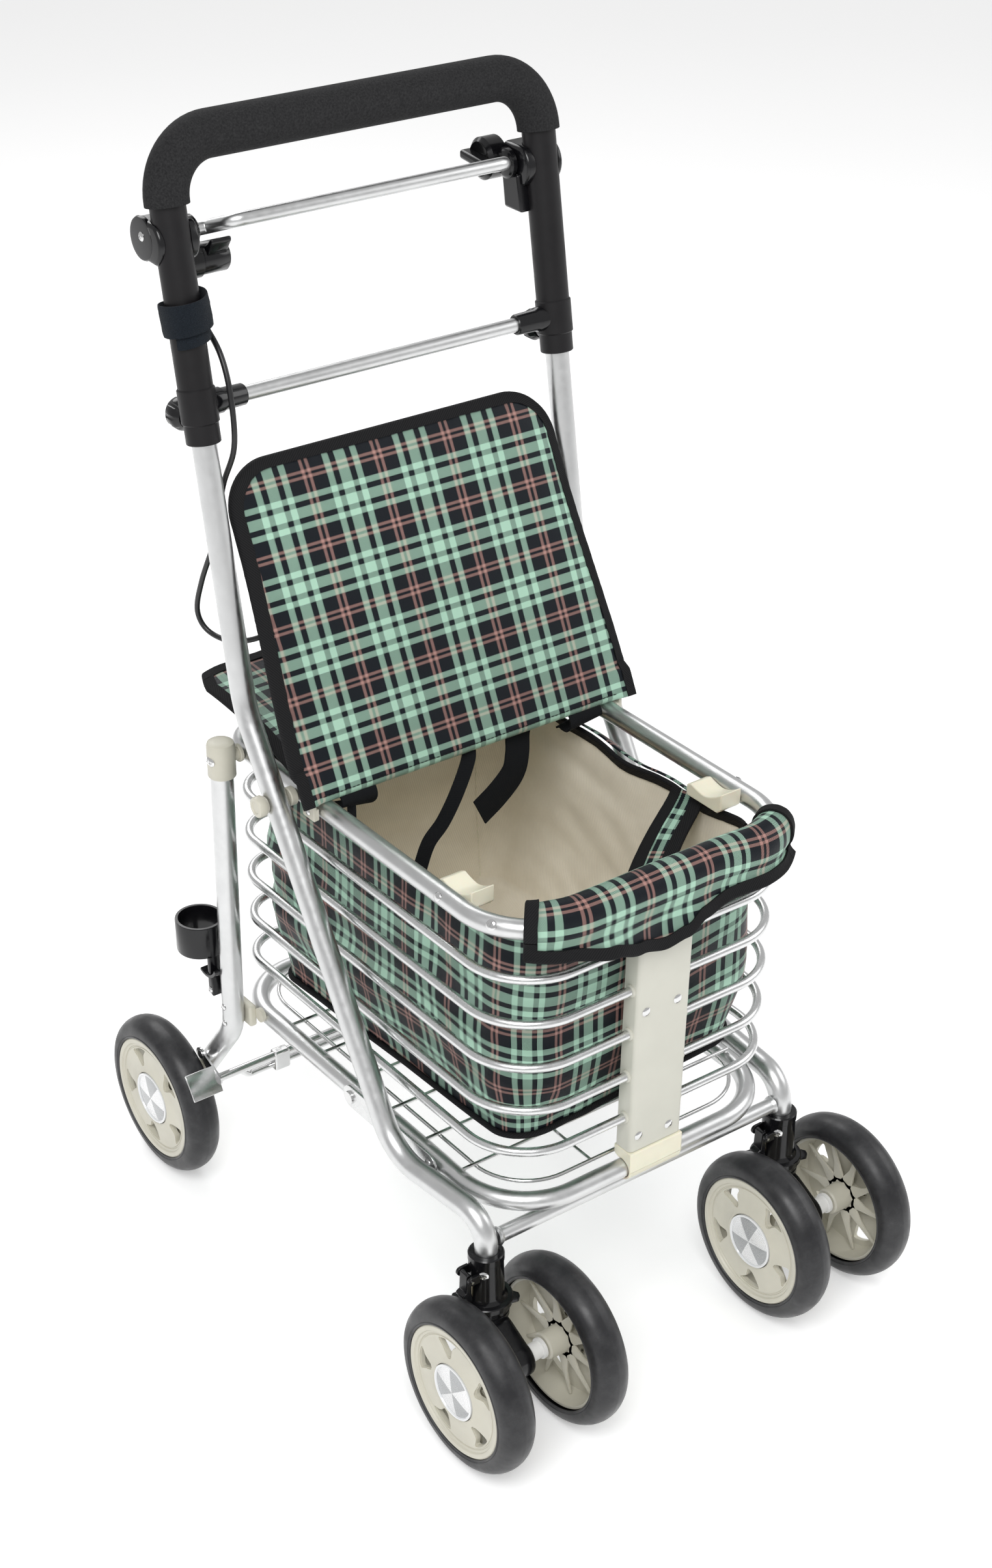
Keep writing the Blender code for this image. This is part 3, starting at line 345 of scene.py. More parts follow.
def reflector():
    """Clear moulded reflector with a fine square prism pattern per sector."""
    made = Recipe("reflector_look", (0.72, 0.73, 0.74), 0.12, 0.75, Coat_Weight=1.0, Coat_Roughness=0.04)
    split = made.node("SeparateXYZ", i0=made.place((1, 1, 1), "UV"))
    waves = [made.math("PINGPONG", made.math("MULTIPLY", split.outputs[axis], 2 / 0.0011), 1.0)
             for axis in (0, 1)]
    prism = made.math("MAXIMUM", *waves)
    # The sectors are painted light and dark as a painted reflection off the prisms, and the prism grid is
    # darkened as painted shade between the facets.
    angle = made.math("ARCTAN2", split.outputs[1], split.outputs[0])
    sector = made.math("FRACT", made.math("ADD", made.math("MULTIPLY", angle, 3 / (2 * math.pi)), 2.0))
    shine = made.ramp(sector, [(0.0, (0.42, 0.43, 0.44)), (0.5, (0.95, 0.95, 0.96))], "CONSTANT")
    painted_facet_shade = made.node("MapRange", i0=prism, i1=0.55, i2=1.0, i3=1.0, i4=0.55).outputs[0]
    made.colour(made.mix(1.0, shine, made.grey(painted_facet_shade), "MULTIPLY"))
    made.bump(prism, 0.5, 0.0004)
    return made.made


LOOK = {
    "tube": tube_metal("silver_tube_look", (0.66, 0.665, 0.665), 0.33),
    "rod": tube_metal("silver_rod_look", (0.7, 0.705, 0.705), 0.26, 0.015),
    "chrome": tube_metal("bright_steel_look", (0.7, 0.7, 0.7), 0.13, 0.01),
    "gloss": plastic("black_plastic_look", (0.005, 0.005, 0.006), 0.16, 0.03, 400.0,
                     Specular_IOR_Level=0.45),
    "leg": plastic("black_tube_look", (0.008, 0.0074, 0.0084), 0.42, 0.06, 1500.0, 0.08,
                   Specular_IOR_Level=0.28),
    "beige": plastic("beige_plastic_look", (0.565, 0.545, 0.46), 0.4),
    "cream": plastic("cream_plastic_look", (0.78, 0.75, 0.6), 0.34, Subsurface_Weight=0.15,
                     Subsurface_Scale=0.004),
    "plate": plastic("plate_look", (0.585, 0.58, 0.51), 0.42, 0.04, 1600.0, 0.02),
    "nylon": plastic("nylon_look", (0.82, 0.82, 0.8), 0.35, 0.04),
    "brass": tube_metal("spring_look", (0.62, 0.55, 0.38), 0.3, 0.01),
    "clear": plastic("clear_rim_look", (0.75, 0.76, 0.77), 0.08, 0.0, change=0.01, Coat_Weight=1.0),
    "foam": foam(),
    "rubber": rubber(),
    "plaid": plaid(),
    "lining": lining(),
    "binding": tape("binding_look", (0.005, 0.005, 0.0055), Specular_IOR_Level=0.15),
    "webbing": tape("webbing_look", (0.0035, 0.004, 0.0048), 0.85, 0.0016, Specular_IOR_Level=0.12),
    "hook": hook_cloth(),
    "reflector": reflector(),
    "cable": plastic("cable_look", (0.01, 0.01, 0.011), 0.35, 0.05),
}


# ---------------------------------------------------------------- mesh tools
def finish_piece(made, look, body, replaced=(), angle=35):
    """Give a piece its material, its body and the CAD nodes that it stands for."""
    if look:
        made.data.materials.append(LOOK[look])
    made.data.shade_smooth()
    if angle is not None:
        made.data.set_sharp_from_angle(angle=math.radians(angle))
    if body:
        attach(made, body)
    if replaced:
        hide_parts(*replaced)
    return made


def link(name, mesh):
    made = bpy.data.objects.new(name, mesh)
    bpy.context.scene.collection.objects.link(made)
    return made


def from_bmesh(name, bm):
    bmesh.ops.recalc_face_normals(bm, faces=bm.faces)
    mesh = bpy.data.meshes.new(name)
    bm.to_mesh(mesh)
    bm.free()
    return link(name, mesh)


def add_bevel(made, width, segments=3):
    bevel = made.modifiers.new("bevel", "BEVEL")
    bevel.width = width
    bevel.segments = segments
    bevel.limit_method = "ANGLE"
    bevel.angle_limit = math.radians(40)


def cut(target, cutter):
    """Cut a helper out of a shape at once, and remove the helper."""
    mod = target.modifiers.new("cut", "BOOLEAN")
    mod.operation = "DIFFERENCE"
    mod.object = cutter
    mod.solver = "EXACT"
    bpy.context.view_layer.update()
    evaluated = target.evaluated_get(bpy.context.evaluated_depsgraph_get())
    mesh = bpy.data.meshes.new_from_object(evaluated)
    target.modifiers.clear()
    old = target.data
    target.data = mesh
    bpy.data.meshes.remove(old)
    bpy.data.objects.remove(cutter)


def rounded_path(points, radii, steps=10):
    """Round a polyline's inner corners with arcs; a radius of 0 keeps a corner."""
    points = [Vector(p) for p in points]
    path = [points[0]]
    for before, corner, after, radius in zip(points, points[1:], points[2:], radii):
        if not radius:
            path.append(corner)
            continue
        a = (before - corner).normalized()
        b = (after - corner).normalized()
        half = a.angle(b) / 2
        centre = corner + (a + b).normalized() * radius / math.sin(half)
        start = corner + a * radius / math.tan(half) - centre
        turn = math.pi - 2 * half
        axis = start.cross(-a)
        for k in range(steps + 1):
            path.append(centre + Matrix.Rotation(turn * k / steps, 3, axis) @ start)
    path.append(points[-1])
    return path


def rounded_rectangle(half_x, front, rear, z, front_radius, rear_radius, steps=10):
    """Points round a rectangle with rounded corners, from its front left corner on."""
    points = []
    corners = (
        (-half_x + front_radius, front + front_radius, front_radius, 270),
        (-half_x + rear_radius, rear - rear_radius, rear_radius, 180),
        (half_x - rear_radius, rear - rear_radius, rear_radius, 90),
        (half_x - front_radius, front + front_radius, front_radius, 0),
    )
    for x, y, radius, start in corners:
        for k in range(steps + 1):
            angle = math.radians(start - 90 * k / steps)
            points.append(Vector((x + radius * math.cos(angle), y + radius * math.sin(angle), z)))
    return points


def curve_through(points, steps=6):
    """Smooth Catmull-Rom curve through the points."""
    points = [Vector(p) for p in points]
    ends = [2 * points[0] - points[1], *points, 2 * points[-1] - points[-2]]
    path = []
    for a, b, c, d in zip(ends, ends[1:], ends[2:], ends[3:]):
        for k in range(steps):
            t = k / steps
            path.append(0.5 * (2 * b + (c - a) * t + (2 * a - 5 * b + 4 * c - d) * t ** 2
                               + (3 * b - a - 3 * c + d) * t ** 3))
    path.append(points[-1])
    return path


def running(points):
    """Length along a polyline up to each of its points."""
    lengths = [0.0]
    for a, b in zip(points, points[1:]):
        lengths.append(lengths[-1] + math.dist(a, b))
    return lengths


def frames(path, closed=False, up=(0, 0, 1)):
    """A (point, along, normal, side, length so far) for each point of a path."""
    count = len(path)
    normal = None
    run = 0.0
    made = []
    for k, point in enumerate(path):
        before = path[k - 1] if closed or k else path[k]
        after = path[(k + 1) % count] if closed or k < count - 1 else path[k]
        along = (after - before).normalized()
        if normal is None:
            normal = Vector(up)
            if abs(normal.dot(along)) > 0.9:
                normal = Vector((1, 0, 0))
        normal = (normal - along * normal.dot(along)).normalized()
        if k:
            run += (point - path[k - 1]).length
        made.append((point, along, normal, along.cross(normal), run))
    return made


def sweep(name, path, section, closed=False, up=(0, 0, 1), scale=None):
    """Sweep a closed section of (out, across) points along a path, with UV in metres."""
    path = [Vector(p) for p in path]
    bm = bmesh.new()
    layer = bm.loops.layers.uv.new("UVMap")
    girth = running([*section, section[0]])
    rings, runs = [], []
    for k, (point, _, normal, side, run) in enumerate(frames(path, closed, up)):
        size = scale(k / (len(path) - 1)) if scale else 1.0
        rings.append([bm.verts.new(point + (normal * n + side * s) * size) for n, s in section])
        runs.append(run)
    count = len(rings)
    total = runs[-1] + (path[-1] - path[0]).length
    for k in range(count if closed else count - 1):
        after = (k + 1) % count
        ends = (runs[k], runs[after] if after else total)
        for j in range(len(section)):
            i = (j + 1) % len(section)
            face = bm.faces.new((rings[k][j], rings[k][i], rings[after][i], rings[after][j]))
            for corner, u, v in zip(face.loops, (ends[0], ends[0], ends[1], ends[1]),
                                    (girth[j], girth[j + 1], girth[j + 1], girth[j])):
                corner[layer].uv = (u, v - girth[-1] / 2)
    if not closed:
        bm.faces.new(rings[0][::-1])
        bm.faces.new(rings[-1])
    return from_bmesh(name, bm)


def circle(radius, sides=28):
    angles = [2 * math.pi * k / sides for k in range(sides)]
    return [(radius * math.cos(a), radius * math.sin(a)) for a in angles]


def tube(name, path, radius, look, body, *replaced, closed=False, sides=28):
    return finish_piece(sweep(name, path, circle(radius, sides), closed), look, body, replaced)


AXIS_TURN = {"X": Matrix.Rotation(math.pi / 2, 4, "Y"), "Y": Matrix.Rotation(-math.pi / 2, 4, "X"),
             "Z": Matrix.Identity(4)}


def turn(name, profile, place, axis="Z", faces=64, flip=1, tilt=None):
    """Spin an (along, radius) profile about an axis through a place."""
    bm = bmesh.new()
    layer = bm.loops.layers.uv.new("UVMap")
    rings = []
    for along, radius in profile:
        ring = []
        for k in range(faces):
            a = 2 * math.pi * k / faces
            ring.append(bm.verts.new((radius * math.cos(a), radius * math.sin(a), along * flip)))
        rings.append(ring)
    for first, second in zip(rings, rings[1:]):
        for j in range(faces):
            i = (j + 1) % faces
            face = bm.faces.new((first[j], first[i], second[i], second[j]))
            for corner in face.loops:
                corner[layer].uv = corner.vert.co.xy
    bmesh.ops.remove_doubles(bm, verts=bm.verts, dist=1e-6)
    matrix = Matrix.Translation(place) @ (tilt or Matrix.Identity(4)) @ AXIS_TURN[axis]
    bmesh.ops.transform(bm, matrix=matrix, verts=bm.verts)
    return from_bmesh(name, bm)


def slab(name, outline, low, high, axis="X", bevel=0.0, segments=3):
    """Extrude an outline in the plane square to an axis, between two places on it."""
    spot = {"X": lambda a, b, c: (c, a, b), "Y": lambda a, b, c: (a, c, b), "Z": lambda a, b,
            c: (a, b, c)}[axis]
    bm = bmesh.new()
    rings = [[bm.verts.new(spot(a, b, c)) for a, b in outline] for c in (low, high)]
    count = len(outline)
    for j in range(count):
        i = (j + 1) % count
        bm.faces.new((rings[0][j], rings[0][i], rings[1][i], rings[1][j]))
    bm.faces.new(rings[0][::-1])
    bm.faces.new(rings[1])
    made = from_bmesh(name, bm)
    if bevel:
        add_bevel(made, bevel, segments)
    return made


def block(name, low, high, bevel=0.001):
    outline = [(low[0], low[1]), (high[0], low[1]), (high[0], high[1]), (low[0], high[1])]
    return slab(name, outline, low[2], high[2], "Z", bevel)


def arc(centre, radius, start, end, steps):
    """Points on an arc in degrees, for outlines."""
    angles = [math.radians(start + (end - start) * k / steps) for k in range(steps + 1)]
    return [(centre[0] + radius * math.cos(a), centre[1] + radius * math.sin(a)) for a in angles]


def join(target, *others):
    """Merge pieces into the first one, whose name stays; every piece's modifiers are applied and then
    removed.
    """
    bpy.context.view_layer.update()
    graph = bpy.context.evaluated_depsgraph_get()
    bm = bmesh.new()
    for made in (target, *others):
        mesh = bpy.data.meshes.new_from_object(made.evaluated_get(graph))
        mesh.transform(made.matrix_world)
        bm.from_mesh(mesh)
        bpy.data.meshes.remove(mesh)
    target.modifiers.clear()
    bm.to_mesh(target.data)
    bm.free()
    for made in others:
        bpy.data.objects.remove(made)
    return target


def cloth_grid(name, rows, columns, spot, uv, close=False):
    """A sheet of quads: spot(i, j) gives a point and uv(i, j) its cloth place in metres."""
    bm = bmesh.new()
    layer = bm.loops.layers.uv.new("UVMap")
    verts = [[bm.verts.new(spot(i, j)) for j in range(columns + (0 if close else 1))]
             for i in range(rows + 1)]
    for i in range(rows):
        for j in range(columns):
            after = (j + 1) % columns if close else j + 1
            face = bm.faces.new((verts[i][j], verts[i][after], verts[i + 1][after], verts[i + 1][j]))
            corners = ((i, j), (i, j + 1), (i + 1, j + 1), (i + 1, j))
            for corner, (a, b) in zip(face.loops, corners):
                corner[layer].uv = uv(a, b)
    mesh = bpy.data.meshes.new(name)
    bm.to_mesh(mesh)
    bm.free()
    return link(name, mesh)


def mend(made, gap=0.0, near=None, outward=None):
    """Weld a cloth's doubled points and turn its faces out, all of them if no place to look at is given."""
    bm = bmesh.new()
    bm.from_mesh(made.data)
    if gap:
        bmesh.ops.remove_doubles(bm, verts=bm.verts, dist=gap)
    if near is None:
        bmesh.ops.recalc_face_normals(bm, faces=bm.faces)
    else:
        bm.normal_update()
        sample = min(bm.faces, key=lambda f: (f.calc_center_median() - Vector(near)).length)
        if sample.normal.dot(Vector(outward)) < 0:
            bmesh.ops.reverse_faces(bm, faces=bm.faces)
    bm.to_mesh(made.data)
    bm.free()


def stitching(name, line, start, end, look, body):
    """A row of threads, each over part of the step between two points of a line."""
    steps = zip(line, line[1:])
    threads = [tube("stitch", (a.lerp(b, start), a.lerp(b, end)), THREAD_R, None, None, sides=8) for a,
               b in steps]
    row = join(*threads)
    row.name = name
    finish_piece(row, look, body)


def thicken(made, thickness, offset=-1.0, inner=None):
    """Give a sheet its thickness, and another look on its inner side."""
    solid = made.modifiers.new("thickness", "SOLIDIFY")
    solid.thickness = thickness
    solid.offset = offset
    solid.use_even_offset = False
    if inner:
        made.data.materials.append(LOOK[inner])
        solid.material_offset = 1
    return made


def screw_head(name, place, outward, body, radius=0.0032, slot=True):
    """Domed screw head with a cross recess, looking along outward."""
    profile = [(0.0, radius), (0.0004, radius), (0.001, radius * 0.82), (0.0015, radius * 0.45),
               (0.0016, 0.0)]
    made = turn(name, profile, (0, 0, 0), faces=24)
    if slot:
        for angle in (20, 110):
            low, high = (-radius * 0.5, -0.00035, 0.0009), (radius * 0.5, 0.00035, 0.003)
            cutter = block(name + "_cut", low, high, 0)
            cutter.data.transform(Matrix.Rotation(math.radians(angle), 4, "Z"))
            cut(made, cutter)
    rotation = Vector((0, 0, 1)).rotation_difference(Vector(outward)).to_matrix().to_4x4()
    made.data.transform(Matrix.Translation(place) @ rotation)
    finish_piece(made, "chrome", body)


# ---------------------------------------------------------------- frame
def side_tube(side):
    """Silver tube from inside the handle down to its swivel socket."""
    x = side * SIDE_X
    stem = side * abs(CASTER.x)
    path = rounded_path(
        [
            (x, leg_y(0.842), 0.842),
            (x, SIDE_BEND.y, SIDE_BEND.z),
            (x, slope_y(SIDE_FLAT_Z), SIDE_FLAT_Z),
            (stem, CASTER.y, SIDE_FLAT_Z),
            (stem, CASTER.y, 0.13),
        ],
        [0.09, 0.05, 0.026],
    )
    name = "fine_side_tube_" + SIDE_NAME[side]
    tube(name, path, SIDE_TUBE_R, "tube", "frame", "side_tube_" + SIDE_NAME[side], sides=36)


def rear_leg(side):
    """Rear leg with its axle's end and its rivets."""
    label = SIDE_NAME[side]
    x = side * LEG_X
    hub = middle("tyre_rear_" + label)
    foot = Vector((x, hub.y + 0.0055, hub.z - 0.007))
    path = rounded_path([(x, LEG_TOP_Y, LEG_TOP_Z), (x, LEG_KNEE_Y, LEG_KNEE_Z), foot], [0.05])
    tube("fine_rear_leg_" + label, path, SIDE_TUBE_R, "tube", "frame", "rear_leg_" + label, sides=36)
    end = hub.x + side * 0.0105
    tube("rear_axle_" + label, [(x, hub.y, hub.z), (end, hub.y, hub.z)], 0.004, "chrome", "frame")
    screw_head("leg_rivet_" + label, (x - side * SIDE_TUBE_R, hub.y, hub.z), (-side, 0, 0), "frame", 0.0058,
               slot=False)
    for k, z in enumerate((0.205, 0.188)):
        y = LEG_TOP_Y + (LEG_TOP_Z - z) * (LEG_KNEE_Y - LEG_TOP_Y) / (LEG_TOP_Z - LEG_KNEE_Z)
        screw_head(f"spacer_rivet_{label}_{k}", (x + side * SIDE_TUBE_R * 0.97, y, z), (side, 0, 0),
                   "frame", 0.0032, slot=False)


def leg_cap(side):
    """Moulded cap with its arm to the rim and the screw that holds it."""
    label = SIDE_NAME[side]
    x, y, arm_z = side * LEG_X, LEG_TOP_Y, RIM_Z + 0.002
    profile = [(0.433, 0.0101), (0.433, 0.0112), (0.4335, 0.0116), (0.46, 0.0116), (0.4625, 0.0108),
               (0.4637, 0.0088), (0.464, 0.005), (0.464, 0.0)]
    cap = turn("fine_leg_cap_" + label, profile, (x, y, 0))
    arm = tube("leg_cap_arm_" + label, [(x - side * 0.008, y, arm_z), (side * RIM_OUTER, y, arm_z)], 0.0052,
               None, None)
    washer = [(0, 0.0), (0, 0.0074), (0.0022, 0.0076), (0.003, 0.0068), (0.003, 0.0)]
    collar_x = side * (RIM_OUTER + 0.0001)
    collar = turn("leg_cap_collar_" + label, washer, (collar_x, y, arm_z), "X", flip=side)
    join(cap, arm, collar)
    finish_piece(cap, "beige", "frame", ["leg_cap_" + label], 40)
    screw_head("cap_screw_" + label, (x - 0.0112, y - 0.003, 0.449), (-0.95, -0.3, 0.0), "frame", 0.0036)
    screw_head("cap_screw_outer_" + label, (x + side * 0.0112, y, 0.449), (side, 0, 0), "frame", 0.0036)


def leg_spacer(side):
    label = SIDE_NAME[side]
    low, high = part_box("leg_spacer_" + label)
    finish_piece(block("fine_leg_spacer_" + label, low, high, 0.0022), "beige", "frame",
                 ["leg_spacer_" + label])
    finish_piece(turn("spacer_collar_" + label, [(0, 0), (0, 0.0065), (0.0035, 0.0065), (0.0035, 0)],
                      ((low.x + high.x) / 2 - side * 0.0056, low.y - 0.0055, (low.z + high.z) / 2 + 0.0035),
                      "X", flip=side), "beige", "frame", angle=30)


def rim_knob(side):
    """Knob outside the side tube, with a sunk face, and its collar inside the tube."""
    label = SIDE_NAME[side]
    y, z = slope_y(RIM_Z), RIM_Z
    outer = SIDE_X + SIDE_TUBE_R + 0.0006
    tip = outer + 0.0095
    profile = [(outer, 0.0), (outer, 0.0068), (outer + 0.0018, 0.0078), (outer + 0.003, 0.0086),
               (tip - 0.002, 0.0086), (tip - 0.0006, 0.008), (tip, 0.0068), (tip, 0.0052),
               (tip - 0.0007, 0.0048), (tip - 0.0007, 0.0)]
    knob = turn("fine_rim_knob_" + label, profile, (0, y, z), "X", flip=side)
    rim, inner = RIM_OUTER, SIDE_X - SIDE_TUBE_R - 0.0006
    collar = turn("knob_collar_" + label, [(rim, 0.0), (rim, 0.0068), (rim + 0.0008, 0.0076),
                                           (inner - 0.0008, 0.0076), (inner, 0.0068), (inner, 0.0)],
                  (0, y, z), "X", flip=side)
    join(knob, collar)
    finish_piece(knob, "beige", "frame", ["rim_knob_" + label], 40)


def rim_and_ring():
    path = rounded_rectangle(BASKET_X, BASKET_FRONT, BASKET_REAR, RIM_Z, RIM_CORNER, 0.03, 16)
    tube("fine_top_rim", path, RIM_R, "tube", "frame", "top_rim", closed=True, sides=32)
    path = rounded_rectangle(BASKET_X, BASKET_FRONT, BASKET_REAR + 0.011, RING_Z, 0.062, 0.055, 16)
    tube("fine_bottom_ring", path, RIM_R, "tube", "frame", "bottom_ring", closed=True, sides=32)
    for side in SIDES:
        turned, reach = math.radians(28), RIM_CORNER + RIM_R * 0.86
        place = Vector((side * (BASKET_X - RIM_CORNER + reach * math.cos(turned)),
                        BASKET_FRONT + RIM_CORNER - reach * math.sin(turned), RIM_Z + RIM_R * 0.52))
        outward = Vector((side * math.cos(turned), -math.sin(turned), 0.62)).normalized()
        screw_head("rim_screw_" + SIDE_NAME[side], place, outward, "frame", 0.0042)


def basket_rods():
    """Thin tubes whose ends enter the front plate's flanges."""
    for k in range(1, 6):
        z = middle(f"basket_rod_{k}").z
        loop = rounded_rectangle(BASKET_X, BASKET_FRONT, BASKET_REAR, z, 0.055, 0.035, 14)
        end = PLATE_HALF + CLEAR
        path = [Vector((-end, BASKET_FRONT, z)), *loop, Vector((end, BASKET_FRONT, z))]
        tube(f"fine_basket_rod_{k}", path, ROD_R, "rod", "frame", f"basket_rod_{k}", sides=20)


def front_plate():
    """Channel with rolled edges, four rivets and the washers that the rods end in."""
    low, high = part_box("front_plate")
    wall, face, back = 0.0016, low.y, high.y
    half = PLATE_HALF
    outside = [(-half, back), *arc((-half + 0.004, face + 0.004), 0.004, 180, 270, 6),
               *arc((half - 0.004, face + 0.004), 0.004, 270, 360, 6), (half, back)]
    inside = [(half - wall, back), *arc((half - 0.004, face + 0.004), 0.004 - wall, 360, 270, 4),
              *arc((-half + 0.004, face + 0.004), 0.004 - wall, 270, 180, 4), (-half + wall, back)]
    finish_piece(slab("fine_front_plate", outside + inside, low.z, high.z, "Z", 0.0004, 2), "plate",
                 "frame", ["front_plate"], 30)
    for k, (x, z) in enumerate(((-0.0179, 0.3447), (0.0134, 0.3443), (-0.0184, 0.2252), (0.0126, 0.223))):
        screw_head(f"plate_rivet_{k}", (x, face, z), (0, -1, 0), "frame", 0.004, slot=False)
    for k in range(1, 6):
        for side in SIDES:
            z = middle(f"basket_rod_{k}").z
            ring = [(0, 0.0), (0, 0.0052), (0.0014, 0.0052), (0.0018, 0.0046), (0.0018, 0.0)]
            finish_piece(turn(f"rod_end_{k}_{SIDE_NAME[side]}", ring, (side * half, BASKET_FRONT, z), "X",
                              32, side), "plate", "frame")


def front_clip():
    """Moulded clip that hooks the plate to the bottom ring."""
    low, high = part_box("front_clip")
    y, z, r = BASKET_FRONT, RING_Z, RIM_R + 0.0006
    outline = [(low.y, high.z), (low.y, z), *arc((y, z), y - low.y, 180, 300, 14),
               *arc((y, z), r, 300, 60, 18), (high.y, z + 0.01), (high.y, high.z)]
    finish_piece(slab("fine_front_clip", outline, low.x - 0.0008, high.x + 0.0008, "X", 0.0009), "cream",
                 "frame", ["front_clip"], 30)


def floor_grid():
    """Wire floor: a border with cross wires and two long wires, as thin bright rods."""
    wire = 0.0017
    z = RING_Z + RIM_R + 0.0004
    border = rounded_rectangle(0.126, BASKET_FRONT + 0.014, BASKET_REAR - 0.004, z, 0.05, 0.045, 12)
    tube("fine_floor_border", border, wire, "chrome", "frame", "floor_grid", closed=True, sides=14)
    for k in range(6):
        y = BASKET_FRONT + 0.062 + k * 0.049
        tube(f"floor_wire_{k}", [(-0.139, y, z + 0.0024), (0.139, y, z + 0.0024)], wire, "chrome", "frame",
             sides=14)
    for k, x in enumerate((-0.045, 0.045)):
        tube(f"floor_runner_{k}", [(x, BASKET_FRONT + 0.016, z - 0.003),
                                   (x, BASKET_REAR - 0.006, z - 0.003)], wire, "chrome", "frame", sides=14)


def front_cross_tube():
    low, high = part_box("front_cross_tube")
    y, z = (low.y + high.y) / 2, (low.z + high.z) / 2
    tube("fine_front_cross_tube", [(low.x, y, z), (high.x, y, z)], 0.0065, "tube", "frame",
         "front_cross_tube")
    for side in SIDES:
        finish_piece(turn("cross_weld_" + SIDE_NAME[side],
                          [(0, 0.0062), (0.0012, 0.0082), (0.003, 0.0074), (0.0042, 0.0064)],
                          (side * (abs(high.x) + 0.0008), y, z), "X", 48, -side), "tube", "frame", angle=80)


def ring_bracket(side):
    """Flat strap between the ring and a side tube, with its two rivets."""
    label = SIDE_NAME[side]
    low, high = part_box("ring_bracket_" + label)
    half = (high.z - low.z) / 2
    level = (high.z + low.z) / 2
    front, rear = low.y + half, high.y - half
    outline = arc((front, level), half, 270, 90, 14) + arc((rear, level), half, 90, -90, 14)
    finish_piece(slab("fine_ring_bracket_" + label, outline, low.x, high.x, "X", 0.0004, 2), "rod", "frame",
                 ["ring_bracket_" + label], 30)
    x = high.x if side > 0 else low.x
    for k, y in enumerate((front, rear)):
        screw_head(f"bracket_rivet_{label}_{k}", (x, y, level), (side, 0, 0), "frame", 0.0042, slot=False)
    finish_piece(turn("bracket_boss_" + label, [(0, 0.0), (0, 0.006), (0.0022, 0.0056), (0.0022, 0.0)],
                      (x, rear, level - 0.0002), "X", 32, side), "chrome", "frame")


def rim_stopper(side):
    """Ivory rest inside the rim: a saddle-backed moulding with a screw."""
    label = SIDE_NAME[side]
    low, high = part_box("rim_stopper_" + label)
    outer = high.x if side > 0 else low.x
    mid_y = (low.y + high.y) / 2
    length = (high.y - low.y) / 2
    outline = []
    for k in range(25):
        t = -1 + 2 * k / 24
        lift = 0.0095 * abs(t) ** 1.6 if t < 0.75 else 0.0095 * 0.75 ** 1.6 * (1 - (t - 0.75) / 0.35)
        outline.append((mid_y + t * length, RIM_Z + 0.0015 + lift * (1.0 if t < 0 else 0.55)))
    outline += [(high.y, low.z + 0.002), (high.y - 0.002, low.z), (low.y + 0.004, low.z),
                (low.y, low.z + 0.004)]
    finish_piece(slab("fine_rim_stopper_" + label, outline, outer, outer - side * 0.021, "X", 0.0022, 4),
                 "cream", "frame", ["rim_stopper_" + label], 50)
    screw_head("stopper_screw_" + label, (outer - side * 0.013, low.y + 0.0035, RIM_Z + 0.0035),
               Vector((-side * 0.3, -0.8, 0.6)).normalized(), "frame", 0.0028)
    outward = Vector((side * 0.93, 0.0, 0.37))
    spot = Vector((side * BASKET_X, mid_y, RIM_Z)) + outward * (RIM_R - 0.0001)
    screw_head("stopper_rivet_" + label, spot, outward, "frame", 0.0036, slot=False)


def cane_holder():
    """Short plastic tube behind the left leg on a strap with a screw."""
    x, y = -0.1745, 0.1895
    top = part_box("cane_holder")[1].z
    bottom = top - 0.03
    ring = [(bottom, 0.018), (bottom, 0.0207), (bottom + 0.001, 0.021), (top - 0.001, 0.021), (top, 0.0206),
            (top, 0.0184), (top - 0.001, 0.018), (bottom, 0.018)]
    made = turn("fine_cane_holder", ring, (x, y, 0), faces=72)
    rear = [(0.1745, 0.262), (0.1752, 0.214), (0.168, 0.2105), (0.1672, 0.222), (0.17, 0.236),
            (0.17, 0.262)]
    strap = slab("cane_strap", rear, -0.1785, -0.1675, "X", 0.0012)
    join(made, strap)
    finish_piece(made, "gloss", "frame", ["cane_holder"], 35)
    finish_piece(slab("cane_hook", arc((0.176, 0.247), 0.0155, 200, 300, 12)
                      + arc((0.176, 0.247), 0.0185, 300, 200, 12), -0.18, -0.169, "X", 0.0006), "gloss",
                 "frame")
    screw_head("cane_screw", (-0.1785, 0.1712, 0.2165), (-1, 0, 0), "frame", 0.003)


def seat_hinge():
    """Bright rod under the lid, on two feet with moulded sleeves."""
    x = HEM_HALF + 0.004
    y, z = LID_HINGE.y, LID_HINGE.z
    tube("fine_seat_hinge", [(-x, y, z), (x, y, z)], 0.003, "chrome", "frame", "seat_hinge", sides=24)
    for side in SIDES:
        plate = [(y - 0.008, RIM_Z - 0.006), (y + 0.008, RIM_Z - 0.006), (y + 0.008, RIM_Z + 0.004),
                 *arc((y, z), 0.0052, 0, 180, 10), (y - 0.008, RIM_Z + 0.004)]
        finish_piece(slab("hinge_foot_" + SIDE_NAME[side], plate, side * (HEM_HALF + 0.0012), side * x, "X",
                          0.0006), "beige", "frame")
        low, high = sorted((side * (BASKET_X + RIM_R + 0.0006), side * (HEM_HALF + 0.002)))
        finish_piece(block("hinge_tab_" + SIDE_NAME[side], (low, y - 0.008, RIM_Z - 0.006),
                           (high, y + 0.008, RIM_Z + 0.004)), "beige", "frame")
        screw_head("hinge_screw_" + SIDE_NAME[side], (side * x, y, RIM_Z - 0.0005), (side, 0, 0), "frame",
                   0.0028)


# ---------------------------------------------------------------- handle
def leg_frame(side, z):
    """Point on a handle leg's middle line at a height, and the direction up the leg."""
    return Vector((side * SIDE_X, leg_y(z), z)), Vector((0, math.sin(HANDLE_TILT), math.cos(HANDLE_TILT)))


